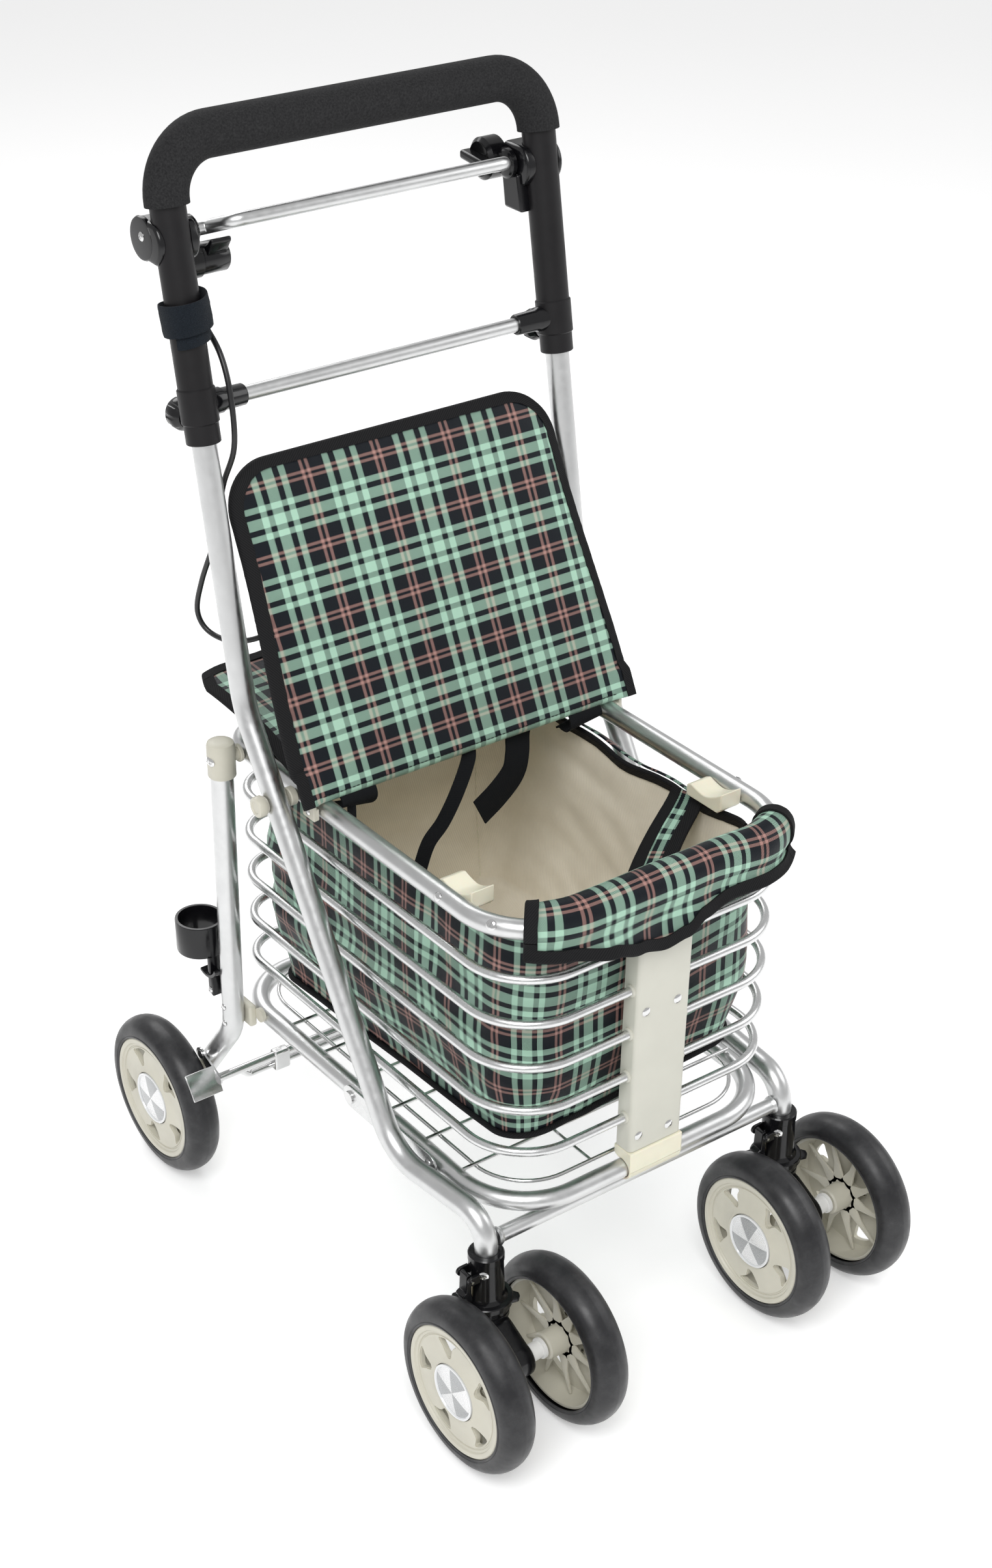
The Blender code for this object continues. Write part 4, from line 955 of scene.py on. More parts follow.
def handle_path(low_z):
    return rounded_path(
        [(-SIDE_X, leg_y(low_z), low_z), (-SIDE_X, leg_y(GRIP_Z), GRIP_Z), (SIDE_X, leg_y(GRIP_Z), GRIP_Z),
         (SIDE_X, leg_y(low_z), low_z)], [GRIP_BEND, GRIP_BEND], 16)


def handle_bow():
    """Black legs, foam sleeve with turned-in ends, crossbar in its sockets."""
    for side in SIDES:
        low, up = leg_frame(side, HANDLE_LOW)
        length = (GRIP_LOW + 0.02 - HANDLE_LOW) / up.z
        inner = SIDE_TUBE_R + 0.0008
        profile = [(0.004, inner), (0.0, inner), (0.0, HANDLE_R - 0.0006), (0.0006, HANDLE_R),
                   (length, HANDLE_R)]
        leg = turn("handle_leg_" + SIDE_NAME[side], profile, low, "Z", 64, tilt=LEG_TILT)
        finish_piece(leg, "leg", "handle", ["handle_tube"] if side < 0 else (), 35)
        y = leg_y(CROSSBAR_Z)
        start, end = SIDE_X - 0.006, SIDE_X - 0.039
        socket = [(start, 0.0), (start, 0.0095), (SIDE_X - 0.0185, 0.0095), (SIDE_X - 0.0205, 0.0084),
                  (end + 0.001, 0.008), (end, 0.0074), (end, 0.006), (end + 0.004, 0.0059)]
        finish_piece(turn("crossbar_socket_" + SIDE_NAME[side], socket, (0, y, CROSSBAR_Z), "X", flip=side),
                     "gloss", "handle", angle=35)
        finish_piece(turn("socket_band_" + SIDE_NAME[side],
                          [(-0.013, HANDLE_R + 0.0002), (-0.012, HANDLE_R + 0.0011),
                           (0.012, HANDLE_R + 0.0011), (0.013, HANDLE_R + 0.0002)],
                          leg_frame(side, CROSSBAR_Z)[0], "Z", tilt=LEG_TILT), "leg", "handle", angle=35)
    end = SIDE_X - 0.0275
    y = leg_y(CROSSBAR_Z)
    tube("fine_crossbar", [(-end, y, CROSSBAR_Z), (end, y, CROSSBAR_Z)], 0.0056, "tube", "handle",
         "crossbar")

    path = handle_path(GRIP_LOW)
    ends = (GRIP_R - 0.0009, GRIP_R - 0.0002, GRIP_R)
    path = [path[0], path[0].lerp(path[1], 0.05), path[0].lerp(path[1], 0.2), *path[1:-1],
            path[-1].lerp(path[-2], 0.2), path[-1].lerp(path[-2], 0.05), path[-1]]
    last = len(path) - 1

    def swell(t):
        k = min(round(t * last), last - round(t * last))
        return ends[k] / GRIP_R if k < 3 else 1.0

    finish_piece(sweep("fine_foam_grip", path, circle(GRIP_R, 40), up=(1, 0, 0), scale=swell), "foam",
                 "handle", ["foam_grip"], 50)


def brake_housing(side):
    """Glossy housing behind a leg: a round cheek, the bar's hub and, on the right, a winged knob."""
    label = SIDE_NAME[side]
    y, z = BRAKE_PIVOT.y, BRAKE_PIVOT.z
    outer, inner = SIDE_X + 0.0155, SIDE_X - 0.0185
    outline = arc((y, z), 0.0165, 60, -60, 14) + arc((y - 0.006, z - 0.001), 0.0165, 240, 120, 14)
    shell = slab("fine_housing_" + label, outline, side * outer, side * inner, "X", 0.0028, 4)
    low, up = leg_frame(side, z)
    cutter = tube("housing_cut_" + label, [low - up * 0.05, low + up * 0.05], HANDLE_R + 0.0005, None, None,
                  sides=48)
    cut(shell, cutter)
    finish_piece(shell, "gloss", "handle", ["brake_bracket_" + label], 35)
    hub = [(inner - 0.002, 0.0), (inner - 0.002, 0.0112), (inner - 0.0055, 0.0112), (inner - 0.0062, 0.01),
           (SIDE_X - 0.0255, 0.0095), (SIDE_X - 0.0262, 0.008), (SIDE_X - 0.0262, 0.0)]
    finish_piece(turn("housing_hub_" + label, hub, (0, y, z), "X", flip=side), "gloss", "handle", angle=35)
    rim = 0.0186 if side > 0 else 0.0158
    finish_piece(turn("housing_cheek_" + label, [(outer - 0.004, 0.0), (outer - 0.004, rim - 0.0008),
                                                 (outer - 0.0012, rim), (outer + 0.0002, rim - 0.0008),
                                                 (outer + 0.0006, 0.012), (outer + 0.0002, 0.0)],
                      (0, y + 0.0035, z), "X", flip=side), "gloss", "handle", angle=50)
    screw_head("housing_screw_" + label, (side * (outer + 0.0003), y + 0.002, z + 0.002), (side, 0, 0),
               "handle", 0.0034)
    screw_head("housing_screw_low_" + label, (side * (outer - 0.0015), y + 0.005, z - 0.0105), (side, 0, 0),
               "handle", 0.0024)
    if side < 0:
        barrel = [(inner - 0.001, 0.0), (inner - 0.001, 0.0128), (SIDE_X - 0.0288, 0.0128),
                  (SIDE_X - 0.0298, 0.0118), (SIDE_X - 0.0298, 0.0)]
        finish_piece(turn("lever_barrel", barrel, (0, LEVER_PIVOT.y, LEVER_PIVOT.z), "X", flip=side),
                     "gloss", "handle", angle=35)
        tube("cable_gland", [(-0.149, 0.201, 0.815), (-0.1465, 0.1975, 0.807)], 0.004, "gloss", "handle")
        return
    foot = [(y - 0.018, z - 0.034), (y + 0.004, z - 0.034), (y + 0.008, z - 0.01), (y - 0.012, z - 0.006)]
    finish_piece(slab("housing_foot", foot, SIDE_X - 0.01, SIDE_X - 0.0215, "X", 0.002), "gloss", "handle")
    knob_y, knob_z, knob_r = y + 0.022, z - 0.0005, 0.016
    near, far = SIDE_X - 0.015, SIDE_X - 0.033
    profile = [(near, 0.0), (near, knob_r - 0.0015), (near - 0.0015, knob_r), (far + 0.003, knob_r),
               (far, knob_r - 0.003), (far + 0.0012, knob_r - 0.005), (far + 0.0016, 0.0)]
    finish_piece(turn("wing_knob", profile, (0, knob_y, knob_z), "X"), "gloss", "handle", angle=35)
    finish_piece(slab("knob_wing", [(knob_y - knob_r + 0.001, knob_z - 0.0045),
                                    (knob_y + knob_r - 0.001, knob_z - 0.0015),
                                    (knob_y + knob_r - 0.001, knob_z + 0.0055),
                                    (knob_y - knob_r + 0.001, knob_z + 0.0025)], far + 0.003, far - 0.0085,
                      "X", 0.0024, 4), "gloss", "handle")


def brake_bar():
    y, z = BRAKE_PIVOT.y, BRAKE_PIVOT.z
    end = SIDE_X - 0.0258
    front = (0.16, 0.8625)
    path = rounded_path([(-end, y, z), (-end + 0.011, y, z), (-end + 0.017, *front), (end - 0.017, *front),
                         (end - 0.011, y, z), (end, y, z)], [0.006, 0.012, 0.012, 0.006], 8)
    tube("fine_brake_bar", path, 0.005, "tube", "brake_bar", "brake_bar", sides=28)


def parking_lever():
    """Barrel with a curled thumb horn and a concave pad."""
    y, z = LEVER_PIVOT.y, LEVER_PIVOT.z
    outer, inner = SIDE_X - 0.029, SIDE_X - 0.052
    profile = [(outer, 0.0), (outer, 0.0108), (outer - 0.001, 0.0114), (inner + 0.0012, 0.0114),
               (inner, 0.0104), (inner, 0.0085), (inner + 0.0012, 0.0078), (inner + 0.0012, 0.0)]
    barrel = turn("fine_parking_lever", profile, (0, y, z), "X", flip=-1)
    horn = [(y - 0.003, z + 0.008), (y - 0.0095, z + 0.003), (y - 0.015, z + 0.011), (y - 0.018, z + 0.015),
            (y - 0.0172, z + 0.0182), (y - 0.014, z + 0.0172), (y - 0.011, z + 0.014)]
    pad = slab("lever_horn", horn, -outer + 0.003, -inner - 0.003, "X", 0.0014, 4)
    join(barrel, pad)
    finish_piece(barrel, "gloss", "parking_lever", ["parking_lever"], 40)


def wrist_strap():
    """Fuzzy strap wound aslant round the left leg, its end overlapping in front."""
    centre, up = leg_frame(-1, 0.8)
    turns, steps, half, thick = 1.6, 84, 0.0112, 0.0009
    rings = []
    for k in range(steps + 1):
        t = k / steps
        angle = math.radians(-150) + 2 * math.pi * turns * t
        radial = Vector((math.cos(angle), math.sin(angle), 0))
        radial = (radial - up * radial.dot(up)).normalized()
        radius = HANDLE_R + 0.0016 + 0.0046 * t + 0.0003 * math.sin(9 * t)
        middle_spot = centre + radial * radius + up * (0.0018 * math.sin(angle + 0.5) + 0.014 * (t - 0.5))
        across = (up + radial * 0.05 * math.sin(3 * angle)).normalized()
        ring = []
        for face in (1, -1):
            for n in range(-5, 6):
                share = face * n / 5
                lump = 0.0003 * noise.noise(Vector((angle * 3, share * 4, face)))
                ring.append(middle_spot + across * half * share
                            + radial * (face * thick * (1 - 0.5 * share ** 6) + lump))
        rings.append(ring)
    ribbon_solid("fine_wrist_strap", rings, "hook", "handle", 50)
    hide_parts("wrist_strap")


def adjust_knob(side):
    """Hand knob with a scalloped rim."""
    label = SIDE_NAME[side]
    low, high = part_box("adjust_knob_" + label)
    place = middle("adjust_knob_" + label)
    profile = [(low.y, 0.0028), (low.y, 0.0082), (low.y + 0.004, 0.011), (low.y + 0.0052, 0.0119),
               (high.y - 0.0035, 0.0119), (high.y - 0.0008, 0.0102), (high.y, 0.008), (high.y, 0.0)]
    made = turn("fine_adjust_knob_" + label, profile, (place.x, 0, place.z), "Y")
    for k in range(8):
        angle = 2 * math.pi * k / 8
        groove = (place.x + 0.0131 * math.cos(angle), 0, place.z + 0.0131 * math.sin(angle))
        cutter = tube("scallop", [Vector(groove) + Vector((0, low.y - 0.002, 0)),
                                  Vector(groove) + Vector((0, high.y + 0.002, 0))], 0.0024, None, None,
                      sides=16)
        cut(made, cutter)
    finish_piece(made, "gloss", f"adjust_knob_{label}", ["adjust_knob_" + label], 40)
    boss = leg_frame(side, HANDLE_LOW + 0.013)[0]
    finish_piece(turn("knob_boss_" + label, [(0.006, 0.0), (0.006, 0.0078), (0.0162, 0.0074),
                                             (0.0168, 0.0068), (0.0168, 0.0)], boss, "Y", 48), "gloss",
                 "handle", angle=35)
    tube("knob_stud_" + label, [(place.x, boss.y + 0.012, place.z), (place.x, high.y - 0.003, place.z)],
         0.0026, "chrome", "handle")


def brake_cable():
    """Cable from the left housing, looped behind the lid and down to the rear brake."""
    route = [
        (-0.148, 0.2, 0.811), (-0.144, 0.193, 0.8), (-0.1425, 0.176, 0.788), (-0.144, 0.152, 0.772),
        (-0.1455, 0.1385, 0.745), (-0.1465, 0.136, 0.708), (-0.1508, 0.148, 0.675), (-0.15, 0.164, 0.63),
        (-0.153, 0.185, 0.585), (-0.153, 0.195, 0.555), (-0.148, 0.186, 0.539), (-0.138, 0.162, 0.538),
        (-0.118, 0.144, 0.548), (-0.085, 0.156, 0.564), (-0.055, 0.195, 0.56), (-0.04, 0.228, 0.52),
        (-0.035, 0.235, 0.46), (-0.032, 0.233, 0.38), (-0.03, 0.225, 0.3), (-0.03, 0.216, 0.22),
        (-0.03, 0.206, 0.165), (-0.03, 0.185, 0.145), (-0.03, 0.1745, 0.1345),
    ]
    path = curve_through(route, 8)
    cable = sweep("fine_brake_cable", path, circle(0.0022, 14), up=(1, 0, 0))
    cable = finish_piece(cable, "cable", None, ["brake_cable"])
    round(running(path)[-1], 3)
    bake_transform(cable)


# ---------------------------------------------------------------- rear brake
SHOE_R = 0.0792                 # outer face of a shoe, from the axle


def rear_brake():
    """Bright twin rods with side arms and a shoe over each rear tyre."""
    py, pz = YOKE_PIVOT.y, YOKE_PIVOT.z
    hub = middle("tyre_rear_left")
    axle = Vector((0, hub.y, hub.z))
    inward = (axle - Vector((0, 0.1713, 0.1209))).normalized()      # from the brake's rod to the axle
    shoe = axle - inward * 0.0785
    x = LEG_X + SIDE_TUBE_R + 0.0022
    tube("fine_rear_brake", [(-x, shoe.y, shoe.z), (x, shoe.y, shoe.z)], 0.004, "chrome", "rear_brake",
         "rear_brake")
    drop = Vector((0, 0.004, -0.0125))
    path = rounded_path([Vector((-x + 0.022, *shoe.yz)), Vector((-x + 0.034, *(shoe + drop).yz)),
                         Vector((x - 0.034, *(shoe + drop).yz)), Vector((x - 0.022, *shoe.yz))],
                        [0.008, 0.008])
    tube("brake_return_rod", path, 0.003, "chrome", "rear_brake")
    for side in SIDES:
        label = SIDE_NAME[side]
        finish_piece(block("rod_clamp_" + label, (side * 0.112 - 0.008, shoe.y - 0.0045, shoe.z - 0.0155),
                           (side * 0.112 + 0.008, shoe.y + 0.0055, shoe.z + 0.0045), 0.002), "chrome",
                     "rear_brake")
        arm = arc((py, pz), 0.0068, -40, 150, 14) + [(shoe.y - 0.0055, shoe.z + 0.003),
                                                     *arc((shoe.y, shoe.z), 0.0062, 150, 290, 8)]
        finish_piece(slab("brake_arm_" + label, arm, side * (x - 0.0014), side * (x + 0.0004), "X", 0.0003,
                          2), "chrome", "rear_brake", angle=30)
        screw_head("brake_pivot_" + label, (side * (x + 0.0004), py, pz), (side, 0, 0), "rear_brake",
                   0.0046, slot=False)
        turns = [Matrix.Rotation(math.radians(-9 + 18 * k / 8), 3, "X") @ -inward for k in range(9)]
        outer = [axle + turned * SHOE_R for turned in turns]
        inner = [axle + turned * SHOE_R * 0.975 for turned in reversed(turns)]
        finish_piece(slab("brake_shoe_" + label, [tuple(p.yz) for p in outer + inner], side * (x - 0.001),
                          side * 0.2065, "X", 0.0005, 2), "chrome", "rear_brake", angle=35)
    tube("cable_tab", [(-0.03, shoe.y, shoe.z), (-0.03, shoe.y + 0.002, shoe.z + 0.0115)], 0.0036, "gloss",
         "rear_brake")


# ---------------------------------------------------------------- front swivels
def caster_socket(side):
    """Glossy socket under a front stub: collar, tube, flared base with two tabs, spring and screw."""
    label = SIDE_NAME[side]
    x, y = side * abs(CASTER.x), CASTER.y
    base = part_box("caster_socket_" + label)[0].z
    profile = [(base, 0.0046), (base, 0.0214), (base + 0.0008, 0.0221), (base + 0.0052, 0.0221),
               (base + 0.006, 0.0213), (base + 0.0064, 0.0178), (base + 0.0085, 0.016),
               (base + 0.011, 0.0152), (0.1555, 0.0141), (0.1562, 0.0147), (SOCKET_TOP - 0.001, 0.0147),
               (SOCKET_TOP, 0.0138), (SOCKET_TOP, SIDE_TUBE_R + 0.0003),
               (SOCKET_TOP - 0.004, SIDE_TUBE_R + 0.0003)]
    finish_piece(turn("fine_caster_socket_" + label, profile, (x, y, 0), faces=80), "gloss", "frame",
                 ["caster_socket_" + label], 35)
    for flank in SIDES:
        low, high = sorted((y + flank * 0.0062, y + flank * 0.0092))
        finish_piece(slab(f"lock_ear_{label}_{SIDE_NAME[flank]}",
                          arc((x - 0.0192, 0.146), 0.004, 90, 270, 10)
                          + [(x - 0.012, 0.142), (x - 0.012, 0.15)], low, high, "Y", 0.0005), "gloss",
                     "frame")
    for k, angle in enumerate((148, -38)):
        turned = math.radians(angle)
        out = Vector((math.cos(turned), math.sin(turned)))
        across = Vector((-out.y, out.x))
        spot = Vector((x, y))
        outline = [spot + out * 0.015 + across * 0.0085, spot + out * 0.0265 + across * 0.004,
                   spot + out * 0.0275, spot + out * 0.0265 - across * 0.004,
                   spot + out * 0.015 - across * 0.0085]
        finish_piece(slab(f"socket_tab_{label}_{k}", [tuple(p) for p in outline], base + 0.001,
                          base + 0.005, "Z", 0.001), "gloss", "frame")
    finish_piece(block("lock_spring_" + label, (x - 0.0163, y - 0.003, 0.1235),
                       (x - 0.0152, y + 0.003, 0.1405), 0.0003), "brass", "frame")
    screw_head("socket_screw_" + label, (x - 0.0098, y - 0.0102, 0.148), (-0.69, -0.72, 0), "frame", 0.0042)


def swivel_lock(side):
    """Small hook lever that locks a swivel straight ahead."""
    label = SIDE_NAME[side]
    x, y = side * abs(CASTER.x), CASTER.y
    outline = [(-0.0222, 0.149), (-0.0215, 0.1502), (-0.019, 0.1504), (-0.0178, 0.149), (-0.0173, 0.13),
               (-0.016, 0.1225), (-0.0162, 0.1208), (-0.019, 0.1205), (-0.0215, 0.1228), (-0.0228, 0.1262),
               (-0.0256, 0.1278), (-0.0264, 0.1294), (-0.0256, 0.1312), (-0.0228, 0.1326)]
    finish_piece(slab("fine_swivel_lock_" + label, [(x + a, b) for a, b in outline], y - 0.005, y + 0.005,
                      "Y", 0.0007), "gloss", "swivel_lock_" + label, ["swivel_lock_" + label], 40)
    tube("lock_pin_" + label, [(x - 0.02, y - 0.01, 0.146), (x - 0.02, y + 0.01, 0.146)], 0.0012, "chrome",
         "frame")


def caster_fork(side):
    """Single arm under the swivel that curves to the housing of the twin wheels' axle."""
    label = SIDE_NAME[side]
    body = "caster_" + label
    x, y = side * abs(CASTER.x), CASTER.y
    wheel_y, wheel_z = middle("tyre_front_left_a").y, middle("tyre_front_left_a").z
    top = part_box("caster_socket_" + label)[0].z - 0.0006
    profile = [(0.126, 0.0), (0.126, 0.004), (top, 0.004), (top, 0.0186), (top - 0.0008, 0.0195),
               (top - 0.0048, 0.0195), (top - 0.0054, 0.0184), (top - 0.0062, 0.0184),
               (top - 0.0068, 0.0195), (top - 0.0112, 0.0195), (top - 0.0122, 0.0186), (top - 0.0122, 0.0)]
    ring = turn("fine_caster_fork_" + label, profile, (x, y, 0), faces=72)
    outline = [(y + 0.015, 0.103), (y - 0.012, 0.103), (y - 0.022, 0.1),
               *arc((wheel_y, wheel_z), 0.0152, 100, 275, 20), (wheel_y + 0.01, 0.0622),
               (wheel_y + 0.019, 0.066), (y - 0.011, 0.0735), (y + 0.004, 0.083), (y + 0.013, 0.093)]
    arm = slab("fork_arm", outline, x - 0.0108, x + 0.0108, "X", 0.0034, 5)
    join(ring, arm)
    finish_piece(ring, "gloss", body, ["caster_fork_" + label], 40)
    inner, outer, end = 0.01, 0.0271, 0.0562
    for flank, look in ((-1, "gloss"), (1, "nylon")):
        shape = [(inner, 0.0), (inner, 0.0078), (outer - 0.0035, 0.0074), (outer - 0.003, 0.009),
                 (outer - 0.0004, 0.009), (outer, 0.0084), (outer, 0.0)]
        finish_piece(turn(f"axle_sleeve_{label}_{SIDE_NAME[flank]}", [(x + flank * a, r) for a, r in shape],
                          (0, wheel_y, wheel_z), "X", 48), look, body, angle=35)
        tube(f"axle_end_{label}_{SIDE_NAME[flank]}", [(x + flank * 0.02, wheel_y, wheel_z),
                                                      (x + flank * end, wheel_y, wheel_z)], 0.004, "chrome",
             body, sides=20)
    finish_piece(turn("axle_boss_" + label, [(x - 0.0118, 0.0), (x - 0.0118, 0.0098), (x - 0.011, 0.0106),
                                             (x + 0.011, 0.0106), (x + 0.0118, 0.0098), (x + 0.0118, 0.0)],
                      (0, wheel_y, wheel_z), "X", 48), "gloss", body, angle=35)


# ---------------------------------------------------------------- wheels
HUB_FACE = 0.0155
HUB_R = 0.0575
WHEEL_R = 0.075


def fin_outline(grow):
    """Window between two spokes as a rounded shark fin, in the wheel's plane."""
    corners = [(0.0325, 0.1), (0.0398, 0.215), (0.0462, 0.255), (0.0472, 0.02), (0.0462, -0.2),
               (0.0405, -0.085), (0.0325, -0.03)]
    points = [Vector((r * math.cos(a), r * math.sin(a), 0)) for r, a in corners]
    centre = sum(points, Vector()) / len(points)
    points = [centre + (p - centre) * (1 + grow / 0.007) for p in points]
    ring = curve_through([points[-1], *points, points[0], points[1]], 5)
    return [(p.x, p.y) for p in ring[5:-6]]


def hub_mesh():
    """Hub whose face looks along +X: dished web, five windows, groove and ribbed inner side."""
    face = HUB_FACE
    dish = [(0.0045, 0.0042), (0.0045, 0.0246), (0.0008, 0.025), (0.0003, 0.0262), (0.001, 0.0278),
            (0.0022, 0.033), (0.0028, 0.04), (0.0024, 0.0486), (0.003, 0.049), (0.0031, 0.05),
            (0.0022, 0.0505), (0.0018, 0.0522), (0.0004, 0.053), (0.0, 0.0538), (0.0, 0.0566),
            (0.0008, HUB_R), (0.0275, HUB_R), (0.0275, 0.055), (0.0072, 0.0525), (0.007, 0.0128),
            (0.0325, 0.0116), (0.034, 0.0104), (0.034, 0.0042), (0.0045, 0.0042)]
    hub = turn("hub", [(face - drop, radius) for drop, radius in dish], (0, 0, 0), "X", 120)
    for k in range(5):
        turned = Matrix.Rotation(math.radians(90 + 72 * k), 4, "Z")
        for grow, low, high in ((0.0008, face - 0.0036, face + 0.004), (0.0, face - 0.012, face + 0.004)):
            outline = [(turned @ Vector((a, b, 0))).xy for a, b in fin_outline(grow)]
            cutter = slab("window", [tuple(p) for p in outline], low, high, "X", 0)
            cut(hub, cutter)
    ribs = []
    for k in range(10):
        angle = math.radians(36 * k + 18)
        path = [(0.011, face - 0.029), (0.015, face - 0.02), (0.03, face - 0.0125), (0.052, face - 0.009)]
        outline = [(0.011, face - 0.0068), (0.052, face - 0.0068), *reversed(path)]
        rib = slab("rib", outline, -0.0009, 0.0009, "Z", 0.0003, 2)
        rib.data.transform(Matrix.Rotation(angle, 4, "X") @ Matrix.Rotation(math.pi / 2, 4, "Y")
                           @ Matrix.Rotation(math.pi / 2, 4, "Z"))
        ribs.append(rib)
    return hub, *ribs


def tyre_profile():
    """Rounded tread with a bead, a shoulder line and a fine centre seam."""
    half = [(0.0148, HUB_R + 0.0001), (0.0157, HUB_R + 0.0006), (0.016, 0.0592), (0.0154, 0.06),
            (0.016, 0.061), (0.0159, 0.064), (0.0151, 0.0668), (0.0136, 0.0692), (0.0114, 0.0713),
            (0.0088, 0.0729), (0.006, 0.0741), (0.003, 0.07475), (0.0009, 0.07495), (0.0005, WHEEL_R)]
    return [(-a, r) for a, r in half] + [(a, r) for a, r in reversed(half)]


def wheels():
    """Six wheels from one hub and one tyre, each turned to its own phase."""
    hub = join(*hub_mesh())
    tyre = turn("tyre", tyre_profile(), (0, 0, 0), "X", 144)
    rim = turn("rim", [(HUB_FACE - 0.004, 0.0244), (HUB_FACE + 0.0002, 0.0243), (HUB_FACE + 0.0006, 0.0236),
                       (HUB_FACE + 0.0003, 0.0226), (HUB_FACE - 0.0006, 0.0222),
                       (HUB_FACE - 0.0006, 0.021)], (0, 0, 0), "X", 80)
    lens = turn("lens", [(HUB_FACE - 0.0007, 0.0224), (HUB_FACE - 0.0002, 0.02), (HUB_FACE + 0.0004, 0.014),
                         (HUB_FACE + 0.0007, 0.007), (HUB_FACE + 0.0008, 0.0)], (0, 0, 0), "X", 80)
    screw = turn("screw", [(0.0, 0.003), (0.0006, 0.0029), (0.0012, 0.0018), (0.0013, 0.0)], (0, 0, 0), "X",
                 20)
    places = [("rear_left", -1, 25), ("rear_right", 1, 70), ("front_left_a", -1, 12),
              ("front_left_b", 1, 47), ("front_right_a", -1, 38), ("front_right_b", 1, 5)]
    for name, outward, phase in places:
        box_low, box_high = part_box("tyre_" + name)
        centre = (box_low + box_high) / 2
        turned = Matrix.Rotation(math.radians(phase), 4, "X")
        spin = Matrix.Rotation(math.pi, 4, "Z") if outward < 0 else Matrix.Identity(4)
        matrix = Matrix.Translation(centre) @ spin @ turned
        body = "wheel_" + name
        for part, source, look, replaced in (
            ("fine_hub_", hub, "beige", ["hub_" + name]), ("fine_tyre_", tyre, "rubber", ["tyre_" + name]),
            ("reflector_rim_", rim, "clear", []), ("reflector_", lens, "reflector", []),
        ):
            mesh = source.data.copy()
            mesh.transform(matrix)
            made = link(part + name, mesh)
            finish_piece(made, look, body, replaced, 32)
        for k in range(3):
            angle = math.radians(120 * k + 30)
            mesh = screw.data.copy()
            spot = Vector((HUB_FACE - 0.0072, 0.02 * math.cos(angle), 0.02 * math.sin(angle)))
            mesh.transform(matrix @ Matrix.Translation(spot) @ Matrix.Rotation(math.pi, 4, "Z"))
            finish_piece(link(f"hub_screw_{name}_{k}", mesh), "chrome", body)
    for helper in (hub, tyre, rim, lens, screw):
        bpy.data.objects.remove(helper)


# ---------------------------------------------------------------- cloth tools
def dense(points, spacing, closed=False):
    """Points along a polyline no further apart than a spacing."""
    points = [Vector(p) for p in points]
    ends = points[1:] + ([points[0]] if closed else [])
    made = []
    for a, b in zip(points, ends):
        steps = max(1, math.ceil((b - a).length / spacing))
        made += [a.lerp(b, k / steps) for k in range(steps)]
    return made if closed else made + [points[-1]]


def resample(line, width, steps):
    """Evenly spaced points along a line, up to a width from its start."""
    lengths = running(line)
    made = []
    for k in range(steps + 1):
        want = min(width * k / steps, lengths[-1] * 0.999)
        j = next(i for i in range(1, len(lengths)) if lengths[i] >= want)
        share = (want - lengths[j - 1]) / max(1e-9, lengths[j] - lengths[j - 1])
        made.append(line[j - 1].lerp(line[j], share))
    return made


def edge_band(name, lines, body, width=BINDING, lift=0.0013, ripple=0.0003):
    """Binding folded over a cloth's edge; each line runs from the edge into the cloth."""
    steps = 5
    rows = [resample(line, width * (1 + 0.06 * noise.noise(Vector((k * 0.21, 3.0, 0.0)))), steps) for k,
            line in enumerate(lines)]
    rings = []
    for k, row in enumerate(rows):
        before, after = rows[max(k - 1, 0)], rows[min(k + 1, len(rows) - 1)]
        top, low = [], []
        for j, point in enumerate(row):
            along = (after[j] - before[j]).normalized()
            inward = (row[min(j + 1, steps)] - row[max(j - 1, 0)]).normalized()
            normal = along.cross(inward).normalized()
            rise = lift(point) if callable(lift) else lift
            rise += ripple * noise.noise(point * 240.0) * (1.5 if j == steps else 1.0)
            top.append(point + normal * rise)
            low.append(point - normal * rise)
        out = (row[0] - row[1]).normalized()
        half = (top[0] - low[0]) / 2
        round_off = [row[0] + out * 0.0009 + half * 0.55, row[0] + out * 0.0013,
                     row[0] + out * 0.0009 - half * 0.55]
        rings.append(top[::-1] + round_off + low)
    return ribbon_solid(name, rings, "binding", body)


def ribbon_solid(name, rings, look, body, angle=70):
    """Skin closed rings into a solid with its UV along and round, in metres."""
    bm = bmesh.new()
    layer = bm.loops.layers.uv.new("UVMap")
    verts = [[bm.verts.new(p) for p in ring] for ring in rings]
    size = len(rings[0])
    run = 0.0
    girth = running([*rings[0], rings[0][0]])
    centre = girth[size // 2]
    for k in range(len(rings) - 1):
        step = (rings[k + 1][size // 2] - rings[k][size // 2]).length
        for j in range(size):
            i = (j + 1) % size
            face = bm.faces.new((verts[k][j], verts[k][i], verts[k + 1][i], verts[k + 1][j]))
            spots = ((run, girth[j]), (run, girth[j + 1]), (run + step, girth[j + 1]),
                     (run + step, girth[j]))
            for corner, (u, v) in zip(face.loops, spots):
                corner[layer].uv = (u, v - centre)
        run += step
    bm.faces.new(verts[0][::-1])
    bm.faces.new(verts[-1])
    return finish_piece(from_bmesh(name, bm), look, body, angle=angle)


